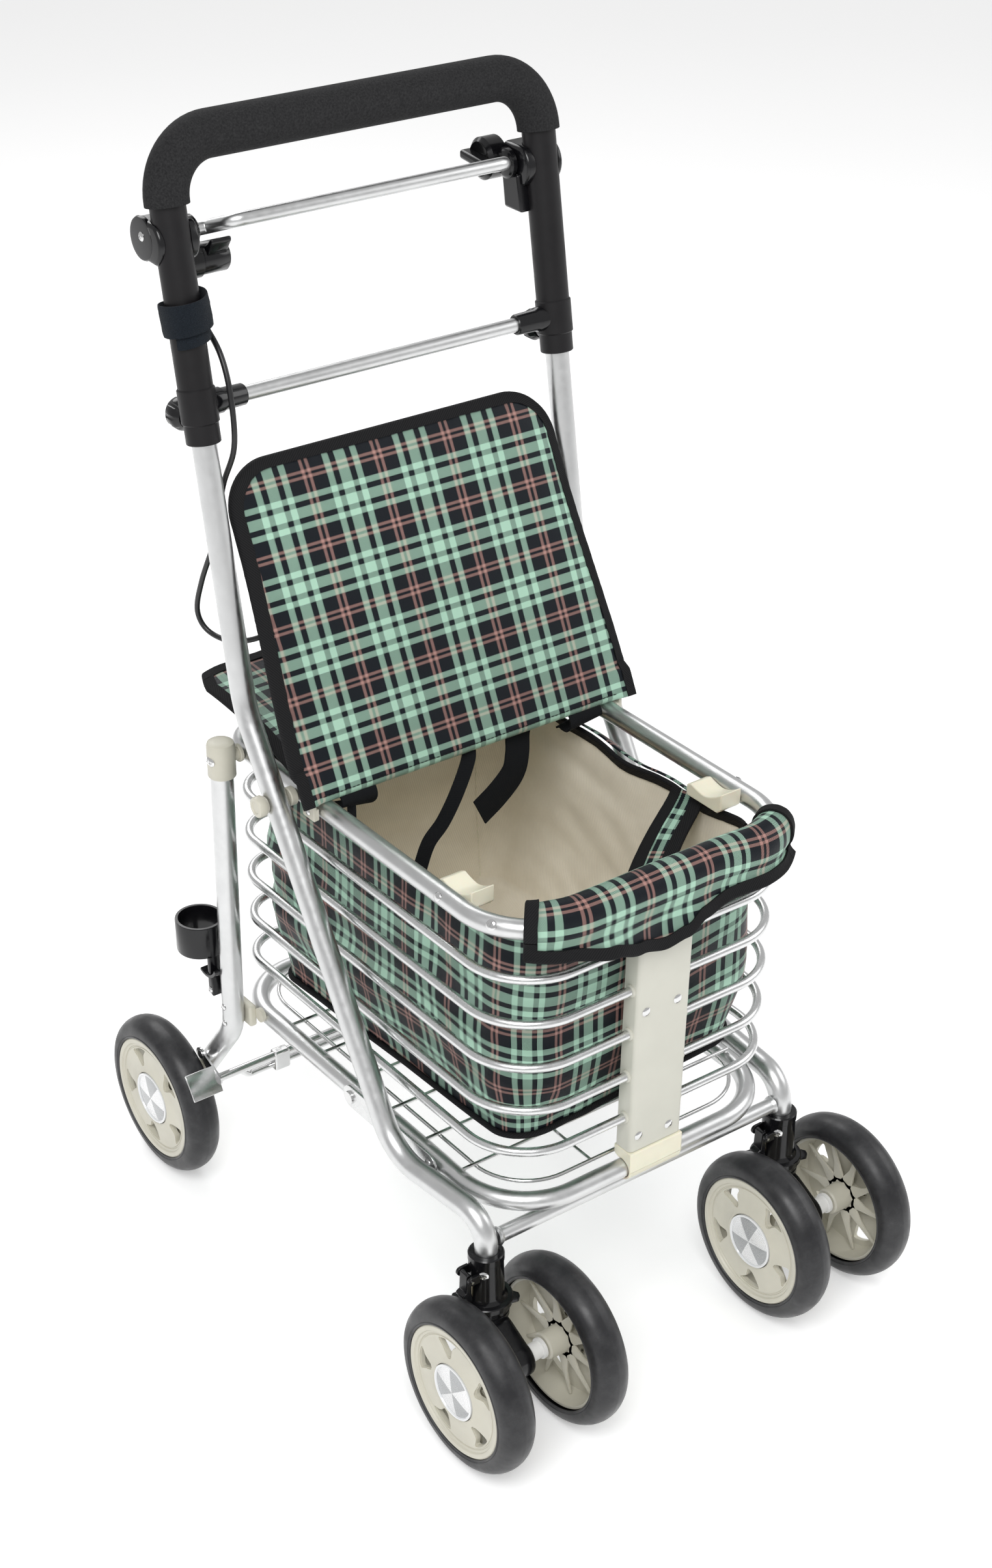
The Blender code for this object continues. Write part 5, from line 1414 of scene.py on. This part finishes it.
def strip(name, centres, wide, half, look, body, thick=0.0008, border=None):
    """Flat band along a curve; wide gives its width direction at each end."""
    path = curve_through(centres, 8)
    last = len(path) - 1

    def width_way(k):
        """Directions along and across the band at a point of its path."""
        along = (path[min(k + 1, last)] - path[max(k - 1, 0)]).normalized()
        across = Vector(wide[0]).lerp(Vector(wide[1]), k / last)
        return along, (across - along * across.dot(along)).normalized()

    rings = []
    for k, point in enumerate(path):
        along, across = width_way(k)
        normal = along.cross(across)
        curl = 0.0012 * noise.noise(point * 40.0)
        ring = []
        for n in range(-4, 5):
            ring.append(point + across * half * n / 4 + normal * (thick + curl * (n / 4) ** 2))
        for n in range(4, -5, -1):
            ring.append(point + across * half * n / 4 - normal * (thick - curl * (n / 4) ** 2))
        rings.append(ring)
    made = ribbon_solid(name, rings, look, body)
    if border:
        for flank in SIDES:
            lines = []
            for k, point in enumerate(path):
                across = width_way(k)[1]
                edge = point + across * half * flank
                lines.append([edge, edge - across * flank * border * 0.5,
                              edge - across * flank * border * 1.2])
            edge_band(f"{name}_border_{SIDE_NAME[flank]}", lines, body, border, thick + 0.0009)
    return made


# ---------------------------------------------------------------- lid
LID_UP = Vector((0, math.sin(LID_LEAN), math.cos(LID_LEAN)))
LID_BACK = Vector((0, math.cos(LID_LEAN), -math.sin(LID_LEAN)))
LID_SPINE = 0.028               # half length of the line that the lid's rings shrink to
COLUMN, ROW = 0.0655, 0.0534    # plaid repeat on the stretched cloth
PLAID_EDGE, PLAID_TOP = 0.1545, 0.237
LID_BINDING = 0.0084
LIP_R = 0.0066                  # rounding of the lid's lower lip


def smooth(low, high, value):
    """Smooth step from 0 at low to 1 at high."""
    t = max(0.0, min(1.0, (value - low) / (high - low)))
    return t * t * (3 - 2 * t)


def lid_spot(x, s, depth=0.0):
    return LID_HINGE + Vector((x, 0, 0)) + LID_UP * s + LID_BACK * depth


def lid_uv(x, s):
    """Plaid place on the lid, whose cloth is a little stretched both ways."""
    return (PERIOD * ((x + PLAID_EDGE) / COLUMN - 0.1), PERIOD * ((PLAID_TOP - s) / ROW - 0.19))


def lid_width(s):
    """Half the lid's width at a height: its upper part passes between the side tubes."""
    return LID_HALF - (LID_HALF - LID_TOP_HALF) * smooth(-0.01, 0.205, s)


def lid_sides():
    """Bound part of the lid's outline as (x, s), from its lower left corner round to its lower right."""
    rows = 36
    side = [(lid_width(s), s) for s in (LID_LOW + (LID_HIGH - LID_CORNER - LID_LOW) * k / rows
                                        for k in range(rows))]
    side += arc((LID_TOP_HALF - LID_CORNER, LID_HIGH - LID_CORNER), LID_CORNER, 0, 90, 14)
    whole = [(-x, s) for x, s in side] + side[::-1]
    return [(p.x, p.y) for p in dense([(x, s, 0) for x, s in whole], 0.0052)]


LID_SIDES = lid_sides()


def lid_gap(x, s):
    """Distance from the bound edges, and the direction away from them."""
    best, away = 1.0, (0.0, 0.0)
    for (ax, az), (bx, bz) in zip(LID_SIDES, LID_SIDES[1:]):
        dx, dz = bx - ax, bz - az
        t = max(0.0, min(1.0, ((x - ax) * dx + (s - az) * dz) / (dx * dx + dz * dz)))
        gap = math.hypot(x - ax - dx * t, s - az - dz * t)
        if gap < best:
            best, length = gap, math.hypot(dx, dz)
            away = (dz / length, -dx / length)
    return best, away


def lid_form(x, s, gap):
    """Middle depth and half thickness: thin at the seams, round at the lip, in front of the hinge feet."""
    half = 0.0029 + 0.004 * (1 - math.exp(-gap / 0.0105))
    low = max(0.0, min(LIP_R, s - LID_LOW))
    half = min(half, math.sqrt(LIP_R ** 2 - (LIP_R - low) ** 2))
    ear = smooth(HEM_HALF - 0.0015, HEM_HALF + 0.0025, abs(x)) * (1 - smooth(0.0075, 0.012, s))
    return -0.0062 * ear, half + (min(half, 0.0016) - half) * ear


def lid():
    """Padded lid: crowned plaid faces puckered at the seam, bound sides and top, and a soft lower lip."""
    edge = dense([(x, LID_LOW + 0.0006 * noise.noise(Vector((x * 30, 2, 2))), 0)
                  for x in (LID_HALF * (1 - k / 30) for k in range(61))], 0.0055)
    outline = LID_SIDES + [(p.x, p.y) for p in edge[1:-1]]
    mid_s = (LID_LOW + LID_HIGH) / 2
    shares = [0.0, 0.006, 0.014, 0.026, 0.042, 0.062, 0.09, 0.13, 0.18, 0.25, 0.34, 0.45, 0.57, 0.71, 0.86,
              1.0]
    places = [[(x + (max(-LID_SPINE, min(LID_SPINE, x)) - x) * share, s + (mid_s - s) * share) for x,
               s in outline] for share in shares]
    rows = [(ring, -1) for ring in reversed(places)] + [(ring, 1) for ring in places]
    gaps = {place: lid_gap(*place)[0] for ring in places for place in ring}

    def spot(i, j):
        ring, face = rows[i]
        x, s = ring[j % len(outline)]
        d = gaps[(x, s)]
        centre, half = lid_form(x, s, d)
        ripple = math.sin((x - s) * 560 + 3 * noise.noise(Vector((x * 60, s * 60, face))))
        pucker = math.exp(-d / 0.012) * 0.0007 * ripple * min(1.0, d / 0.006)
        soft = 0.0008 * noise.noise(Vector((x * 14, s * 14, 2.0 * face))) * (1 - math.exp(-d / 0.02))
        calm = smooth(0.0, LIP_R, s - LID_LOW)
        return lid_spot(x, s, centre + face * (half + (pucker + soft) * calm))

    def uv(i, j):
        return lid_uv(*rows[i][0][j % len(outline)])

    made = cloth_grid("seat_lid_pad", len(rows) - 1, len(outline), spot, uv, close=True)
    mend(made, 1e-5)
    finish_piece(made, "plaid", "seat_lid", ["seat_lid"], 60)

    lines = []
    for x, s in LID_SIDES:
        away = lid_gap(x, s)[1]
        line = []
        for t in (0, 0.003, 0.006, 0.009, 0.012):
            spot_x, spot_s = x + away[0] * t, s + away[1] * t
            line.append(lid_spot(spot_x, spot_s, lid_form(spot_x, max(spot_s, LID_LOW + LIP_R), t)[0]))
        lines.append(line)

    def cover(point):
        """Half the binding's thickness over the pad at a point."""
        s = (point - LID_HINGE).dot(LID_UP)
        return lid_form(point.x, max(s, LID_LOW + LIP_R), lid_gap(point.x, s)[0])[1] + 0.001

    edge_band("lid_binding", lines, "seat_lid", LID_BINDING, cover, ripple=0.0005)
    lid_stitches()


def lid_stitches():
    """Row of stitches just above the lower lip, and the webbing tabs under it."""
    steps, s = 76, LID_LOW + 0.0052
    ends = HEM_HALF - 0.004
    lip = []
    for k in range(steps + 1):
        x = ends * (2 * k / steps - 1)
        sway = 0.0004 * noise.noise(Vector((x * 50, 1, 1)))
        lip.append(lid_spot(x, s + sway, -lid_form(x, s, 0.05)[1] - 0.0002))
    stitching("hem_stitches", lip, 0.15, 0.8, "binding", "seat_lid")
    for side in SIDES:
        hinge_loop(side)


def hinge_loop(side):
    """Webbing tab that comes from under the lid's lip and goes back to the rim."""
    x, half = side * 0.113, 0.0165
    steps = [(0.0, -0.004, -0.008), (0.0, -0.0098, -0.0128), (0.0, -0.0112, -0.0185),
             (0.001, -0.007, -0.0238), (0.003, 0.001, -0.0265), (0.005, 0.009, -0.0275),
             (0.006, 0.015, -0.031)]
    path = curve_through([LID_HINGE + Vector((x + side * a, b, c)) for a, b, c in steps], 6)
    section = [(-0.0008, -half), (0.0008, -half), (0.001, 0.0), (0.0008, half), (-0.0008, half),
               (-0.0007, 0.0)]
    finish_piece(sweep("hinge_loop_" + SIDE_NAME[side], path, section, up=(0, 1, 0.1)), "webbing", "frame",
                 angle=50)


# ---------------------------------------------------------------- bag
def rear_flap():
    """Stiffened plaid flap behind the lid, bound on its sides and rear."""
    rows, columns = 26, 44
    front, rear = (0.062, 0.4672), (0.2185, 0.4885)

    def spot(i, j):
        a, b = i / rows, 2 * j / columns - 1
        x = b * (0.151 - 0.004 * math.sin(math.pi * a) - 0.01 * max(0.0, a - 0.85) / 0.15 * abs(b) ** 8)
        y = front[0] + (rear[0] - front[0]) * a - 0.01 * max(0.0, abs(b) - 0.85) / 0.15 * max(0.0,
                a - 0.9) * 10 * 0.35
        z = front[1] + (rear[1] - front[1]) * a + 0.0035 * math.sin(math.pi * a)
        z += 0.0012 * noise.noise(Vector((x * 22, y * 22, 4.0))) - 0.0022 * abs(b) ** 6
        return Vector((x, y, z))

    def uv(i, j):
        return (0.297 * j / columns + 0.01, 0.16 * i / rows + 0.022)

    made = cloth_grid("rear_flap_cloth", rows, columns, spot, uv)
    finish_piece(made, "plaid", "frame", ["rear_flap"], None)
    thicken(made, 0.0022, 0.0)
    grid = [[spot(i, j) for j in range(columns + 1)] for i in range(rows + 1)]
    left = [[grid[i][k] for k in range(0, 6)] for i in range(rows, -1, -1)]
    right = [[grid[i][columns - k] for k in range(0, 6)] for i in range(rows + 1)]
    back = [[grid[rows - k][j] for k in range(0, 6)] for j in range(columns, -1, -1)]
    for label, lines, lift in (("left", left, 0.002), ("right", right, 0.002), ("rear", back, 0.0021)):
        edge_band("rear_flap_binding_" + label, lines, "frame", lift=lift)


BAG_FLOOR = 0.2085
BAG_HALF, BAG_FRONT, BAG_REAR = 0.1285, -0.1935, 0.1715


def bag_top(point):
    """Height of the bag's upper edge: tucked in at the front, sagging along the sides."""
    if point.y < -0.165:
        return 0.4385
    along = (point.y + 0.165) / (BAG_REAR + 0.165)
    sag = 0.01 * math.sin(math.pi * min(1.0, along * 1.05)) + 0.0015 * math.sin(point.y * 70 + point.x * 20)
    return 0.4395 - sag - (0.002 if point.x > 0 else 0.0)


def floor_lift(point):
    """Rise of the bag's bottom from its rear left to its front right corner."""
    forward = (BAG_REAR - point.y) / (BAG_REAR - BAG_FRONT)
    rightward = (point.x + BAG_HALF) / (2 * BAG_HALF)
    return 0.02 * forward + 0.016 * rightward


def bag():
    """Sagging plaid tub lined in cream, hung inside the rods."""
    ring = dense(rounded_rectangle(BAG_HALF, BAG_FRONT, BAG_REAR, 0, 0.045, 0.035, 12), 0.0058, True)
    count = len(ring)
    start = min(range(count), key=lambda k: abs(ring[k].x) + (10 if ring[k].y > 0 else 0))
    ring = ring[start:] + ring[:start]
    runs = running([*ring, ring[0]])
    walls, floor = 40, 14
    centre = Vector((0, (BAG_FRONT + BAG_REAR) / 2, 0))
    outward = []
    for k, point in enumerate(ring):
        along = ring[(k + 1) % count] - ring[k - 1]
        out = Vector((-along.y, along.x, 0)).normalized()
        outward.append(out if out.dot(point - centre) > 0 else -out)

    def fold(u, z):
        """How far the cloth stands off its smooth shape."""
        swag = 0.0034 * noise.noise(Vector((u * 9, z * 26 + 4 * noise.noise(Vector((u * 7, z * 6, 2.0))),
                                            1.0)))
        broad = 0.0034 * noise.noise(Vector((u * 13 + 5, z * 9, 7.0)))
        rise = max(0.0, min(1.0, (0.4385 - z) / 0.05))
        return (swag + broad) * (0.35 + 0.65 * rise)

    def spot(i, j):
        k = j % count
        point, out = ring[k], outward[k]
        if i <= walls:
            t = i / walls
            top = bag_top(point)
            low = BAG_FLOOR + 0.01 + floor_lift(point)
            z = top + (low - top) * t
            inset = 0.003 - 0.0015 * math.sin(math.pi * t) + 0.012 * smooth(0.62, 1.0, t)
            tuck = 0.004 * max(0.0, 1 - t / 0.05)
            place = point - out * (inset + tuck - fold(runs[k], z) * min(1.0, (1 - t) * 8 + 0.25))
            return Vector((place.x, place.y, z))
        t = (i - walls) / floor
        edge = point - out * 0.015
        spine = Vector((0, max(-0.09, min(0.07, point.y)), 0))
        place = edge.lerp(spine, t)
        drop = BAG_FLOOR + 0.01 + floor_lift(place) - 0.0085 * min(1.0, t * 6) ** 0.7
        ridge = 0.0062 * noise.noise(Vector((place.x * 21, place.y * 21, 3.0))) * min(1.0,
                t * 3) * (1.2 - t)
        return Vector((place.x, place.y, drop + max(-0.0006, ridge)))

    def uv(i, j):
        u = runs[j]
        point = ring[j % count]
        if i <= walls:
            z = spot(i, j).z
            warp_u = 0.005 * noise.noise(Vector((runs[j % count] * 8, z * 10, 11.0)))
            warp_v = 0.0085 * noise.noise(Vector((runs[j % count] * 7, z * 9, 21.0)))
            fade = min(1.0, (0.44 - z) / 0.05)
            return (u + warp_u * fade + 0.03, z + warp_v * fade)
        t = (i - walls) / floor
        return (u + 0.03, BAG_FLOOR + 0.01 - t * 0.1 - 0.01 * point.x)

    made = cloth_grid("bag_tub", walls + floor, count, spot, uv, close=True)
    finish_piece(made, "plaid", "frame", ["bag"], None)
    mend(made, 0.0004, (BAG_HALF, 0, 0.33), (1, 0, 0))
    thicken(made, 0.0016, -1.0, "lining")

    seam = [spot(walls, k) + outward[k] * 0.0012 for k in range(count)]
    tube("bag_bottom_piping", seam, 0.0026, "binding", "frame", closed=True, sides=14)
    corner = min(range(count), key=lambda k: (ring[k] - Vector((0.104, BAG_REAR, 0))).length)
    line = [spot(i, corner) - outward[corner] * 0.0021 for i in range(3, walls)]
    stitching("lining_stitches", line, 0.1, 0.75, "cream", "frame")

    right = [k for k in range(count) if ring[k].x > 0.05 and ring[k].y > -0.168]
    left = [k for k in range(count) if ring[k].x < -0.05 and ring[k].y > -0.168]
    for label, run in (("right", right), ("left", left)):
        lines = [[spot(i, k) - outward[k] * 0.0008 for i in range(0, 5)] for k in run]
        edge_band("bag_binding_" + label, lines, "frame", BINDING, 0.0019)


def bag_facing():
    """Plaid outer fold that hangs from the bag's right edge under the rim."""
    rows, columns = 5, 40

    def spot(i, j):
        a, b = i / rows, j / columns
        y = 0.06 - 0.15 * b
        edge = bag_top(Vector((BAG_HALF, y, 0)))
        out = 0.1252 + 0.0125 * a + 0.001 * noise.noise(Vector((y * 40, a * 2, 1.0)))
        drop = 0.0006 + 0.0095 * a ** 1.4
        return Vector((out, y, edge + 0.0016 - drop))

    def uv(i, j):
        return (0.15 * j / columns + 0.012, 0.016 * i / rows + 0.047)

    made = cloth_grid("bag_facing", rows, columns, spot, uv)
    finish_piece(made, "plaid", "frame", angle=None)
    thicken(made, 0.0012, 0.0)


FLAP_REACH = math.radians(40)   # how far round each front corner the flap reaches


def flap_run(a):
    """Rim's middle line under the flap at a share of its length, and the outward direction."""
    corner, bend = BASKET_X - RIM_CORNER, FLAP_REACH * RIM_CORNER
    run = a * (2 * corner + 2 * bend)
    past = run - bend if run < bend else max(0.0, run - bend - 2 * corner)
    if not past:
        return Vector((run - bend - corner, BASKET_FRONT, RIM_Z)), Vector((0, -1, 0)), run
    angle = math.radians(270) + past / RIM_CORNER
    out = Vector((math.cos(angle), math.sin(angle), 0))
    centre = Vector((math.copysign(corner, past), BASKET_FRONT + RIM_CORNER, RIM_Z))
    return centre + out * RIM_CORNER, out, run


def flap_hem_z(x):
    """Height of the flap's wavy lower edge."""
    stations = [(-0.15, 0.436), (-0.142, 0.434), (-0.1, 0.427), (-0.063, 0.42), (-0.035, 0.411),
                (-0.012, 0.406), (0.008, 0.411), (0.025, 0.421), (0.055, 0.4265), (0.103, 0.427),
                (0.14, 0.43)]
    for (xa, za), (xb, zb) in zip(stations, stations[1:]):
        if x <= xb:
            return za + (zb - za) * smooth(xa, xb, x)
    return stations[-1][1]


def front_flap():
    """Plaid flap rolled over the front rim: its top flattens under the closed lid."""
    columns = 96
    upper = [(-0.012, 0.0), (-0.0132, 0.006), (-0.0128, 0.012), (-0.0105, 0.0175), (-0.0065, 0.0213),
             (-0.001, 0.0232), (0.005, 0.0228), (0.0105, 0.02), (0.0142, 0.0155), (0.016, 0.01),
             (0.0166, 0.0048), (0.0166, 0.0)]
    upper = [(p.x, p.y) for p in curve_through([(a, b, 0) for a, b in upper], 3)]
    lower_rows = 12

    def roll(i, j):
        base, out, run = flap_run(j / columns)
        n, z = upper[i]
        swell = 1 + 0.07 * noise.noise(Vector((run * 16, z * 40, 2.0)))
        ends = 0.93 + 0.07 * min(1.0, min(j, columns - j) / 7)
        return base + out * (n * swell * ends + 0.0012) + Vector((0, 0,
                z * ends * (1 + 0.05 * noise.noise(Vector((run * 22, 3.0, 1.0))))))

    def skirt(i, j):
        base, out, run = flap_run(j / columns)
        top = roll(len(upper) - 1, j)
        t = i / lower_rows
        depth = RIM_Z - flap_hem_z(base.x + out.x * 0.0166)
        wave = 0.004 * noise.noise(Vector((run * 24, t * 1.2, 9.0))) + 0.0015 * math.sin(run * 95 + t * 2.0)
        flare = (0.003 * t * t - 0.0035 * math.sin(math.pi * t) + wave * t) * min(1.0, 0.6 + depth / 0.08)
        return top + out * flare + Vector((0, 0, -depth * t))

    girth = running(upper)

    def shift(run):
        """Cloth pulled aslant towards the right end."""
        return 0.01 * max(0.0, run - 0.16) / 0.08

    def cloth_place(run, down):
        return (run + 0.0205 + shift(run) * down * 14, -down + 0.0395 + shift(run) * 0.9)

    def roll_uv(i, j):
        return cloth_place(flap_run(j / columns)[2], girth[i])

    def skirt_uv(i, j):
        base, out, run = flap_run(j / columns)
        depth = RIM_Z - flap_hem_z(base.x + out.x * 0.0166)
        return cloth_place(run, girth[-1] + depth * i / lower_rows)

    last = len(upper) - 1
    top = cloth_grid("flap_roll", last, columns, roll, roll_uv)
    hang = cloth_grid("flap_skirt", lower_rows, columns, skirt, skirt_uv)
    for made in (top, hang):
        finish_piece(made, "plaid", "frame", angle=None)
        mend(made, near=(0, -0.23, 0.45), outward=(0, -1, 0))
        thicken(made, 0.0014)
    column = [[roll(i, j) for i in range(last + 1)] for j in range(columns + 1)]
    low = [[skirt(i, j) for i in range(lower_rows + 1)] for j in range(columns + 1)]
    edge_band("flap_hem_binding", [list(reversed(low[j]))[:9] for j in range(columns, -1, -1)], "frame",
              0.0088, 0.0019)
    for label, ends in (("left", range(0, 8)), ("right", range(columns, columns - 8, -1))):
        upper_lines = [[column[j][i] for j in ends] for i in range(last + 1)]
        lower_lines = [[low[j][i] for j in ends] for i in range(lower_rows + 1)]
        if label == "right":
            upper_lines.reverse()
            lower_lines.reverse()
        band = edge_band("flap_end_top_" + label, upper_lines, "frame", 0.009, 0.002)
        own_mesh(band)
        edge_band("flap_end_low_" + label, lower_lines, "frame", 0.009, 0.002)
    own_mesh(top)


def straps():
    """Webbing and straps that hang inside the bag."""
    wide = strip("wide_webbing", [(0.056, 0.047, 0.46), (0.051, 0.043, 0.45), (0.047, 0.038, 0.435),
                                  (0.0405, 0.0345, 0.419), (0.0225, 0.032, 0.406), (0.0035, 0.03, 0.3965)],
                 ((0.95, 0.0, -0.3), (0.68, 0.0, -0.73)), 0.013, "webbing", "frame")
    thin = strip("thin_webbing", [(-0.002, 0.044, 0.459), (-0.0035, 0.036, 0.448), (-0.02, 0.03, 0.423),
                                  (-0.0345, 0.029, 0.4015), (-0.048, 0.03, 0.386), (-0.056, 0.031, 0.364),
                                  (-0.059, 0.033, 0.345)], ((0.85, -0.4, -0.3), (0.6, -0.74, -0.27)),
                 0.0058, "webbing", "frame")
    short = strip("short_webbing", [(-0.115, 0.044, 0.456), (-0.1165, 0.038, 0.442),
                                    (-0.1195, 0.033, 0.425), (-0.1215, 0.03, 0.408)],
                  ((0.0, 1.0, 0.1), (0.15, 1.0, 0.0)), 0.0055, "webbing", "frame")
    band = strip("bag_strap", [(0.1215, -0.0905, 0.4335), (0.114, -0.093, 0.424), (0.088, -0.103, 0.408),
                               (0.056, -0.123, 0.396), (0.026, -0.15, 0.389), (0.004, -0.174, 0.39),
                               (-0.008, -0.186, 0.396)], ((0.0, -1.0, 0.17), (0.55, -0.6, 0.2)), 0.0175,
                 "plaid", "frame", 0.0009, BINDING * 1.1)


# ---------------------------------------------------------------- studio
def studio():
    """Pale floor, soft light from above and the sides, and the camera."""
    scene = bpy.context.scene
    floor = slab("studio_floor", [(-6, -6), (6, -6), (6, 6), (-6, 6)], -0.02, -0.0005, "Z", 0)
    paint = Recipe("studio_floor_paint", (0.92, 0.92, 0.92), 0.9)
    paint.colour(paint.ramp(paint.noise(0.8, 2.0), [(0.3, (0.915, 0.915, 0.915)),
                                                    (0.7, (0.93, 0.93, 0.93))]))
    paint.shader.inputs["Emission Color"].default_value = (1.0, 1.0, 1.0, 1.0)
    paint.shader.inputs["Emission Strength"].default_value = 0.3
    floor.data.materials.append(paint.made)
    world = bpy.data.worlds.new("studio")
    world.use_nodes = True
    world.node_tree.nodes["Background"].inputs["Color"].default_value = (1.0, 1.0, 1.0, 1.0)
    world.node_tree.nodes["Background"].inputs["Strength"].default_value = 0.56
    scene.world = world
    for name, place, size, power in (("key", (-1.4, -1.4, 2.6), 1.6, 50.0),
                                     ("fill", (2.2, -1.0, 1.8), 1.8, 16.0),
                                     ("back", (0.4, 2.2, 2.4), 1.8, 26.0)):
        lamp = bpy.data.lights.new(name, "AREA")
        lamp.energy, lamp.shape, lamp.size = power, "DISK", size
        made = bpy.data.objects.new(name, lamp)
        scene.collection.objects.link(made)
        made.location = place
        made.rotation_euler = (Vector((0, 0, 0.4)) - Vector(place)).to_track_quat("-Z", "Y").to_euler()
    scene.view_settings.view_transform = "Standard"

    azimuth, elevation, roll = math.radians(-37.43), math.radians(37.09), math.radians(0.86)
    back = Vector((math.sin(azimuth) * math.cos(elevation), -math.cos(azimuth) * math.cos(elevation),
                   math.sin(elevation)))
    right = Vector((math.cos(azimuth), math.sin(azimuth), 0))
    up = back.cross(right)
    across = right * math.cos(roll) + up * math.sin(roll)
    above = up * math.cos(roll) - right * math.sin(roll)
    lens = bpy.data.cameras.new("camera")
    lens.sensor_fit = "AUTO"
    lens.sensor_width = 36.0
    lens.lens = 56.15
    lens.shift_x, lens.shift_y = -0.0004, 0.2018
    camera = bpy.data.objects.new("camera", lens)
    scene.collection.objects.link(camera)
    turned = Matrix((across, above, back)).transposed().to_4x4()
    camera.matrix_world = Matrix.Translation((-1.037, -1.358, 1.414)) @ turned
    scene.camera = camera


# ---------------------------------------------------------------- build
for flank in SIDES:
    side_tube(flank)
    rear_leg(flank)
    leg_cap(flank)
    leg_spacer(flank)
    rim_knob(flank)
    ring_bracket(flank)
    rim_stopper(flank)
    brake_housing(flank)
    adjust_knob(flank)
    caster_socket(flank)
    swivel_lock(flank)
    caster_fork(flank)
rim_and_ring()
basket_rods()
front_plate()
front_clip()
floor_grid()
front_cross_tube()
cane_holder()
seat_hinge()
handle_bow()
brake_bar()
parking_lever()
wrist_strap()
brake_cable()
rear_brake()
wheels()
lid()
rear_flap()
bag()
bag_facing()
front_flap()
straps()
studio()
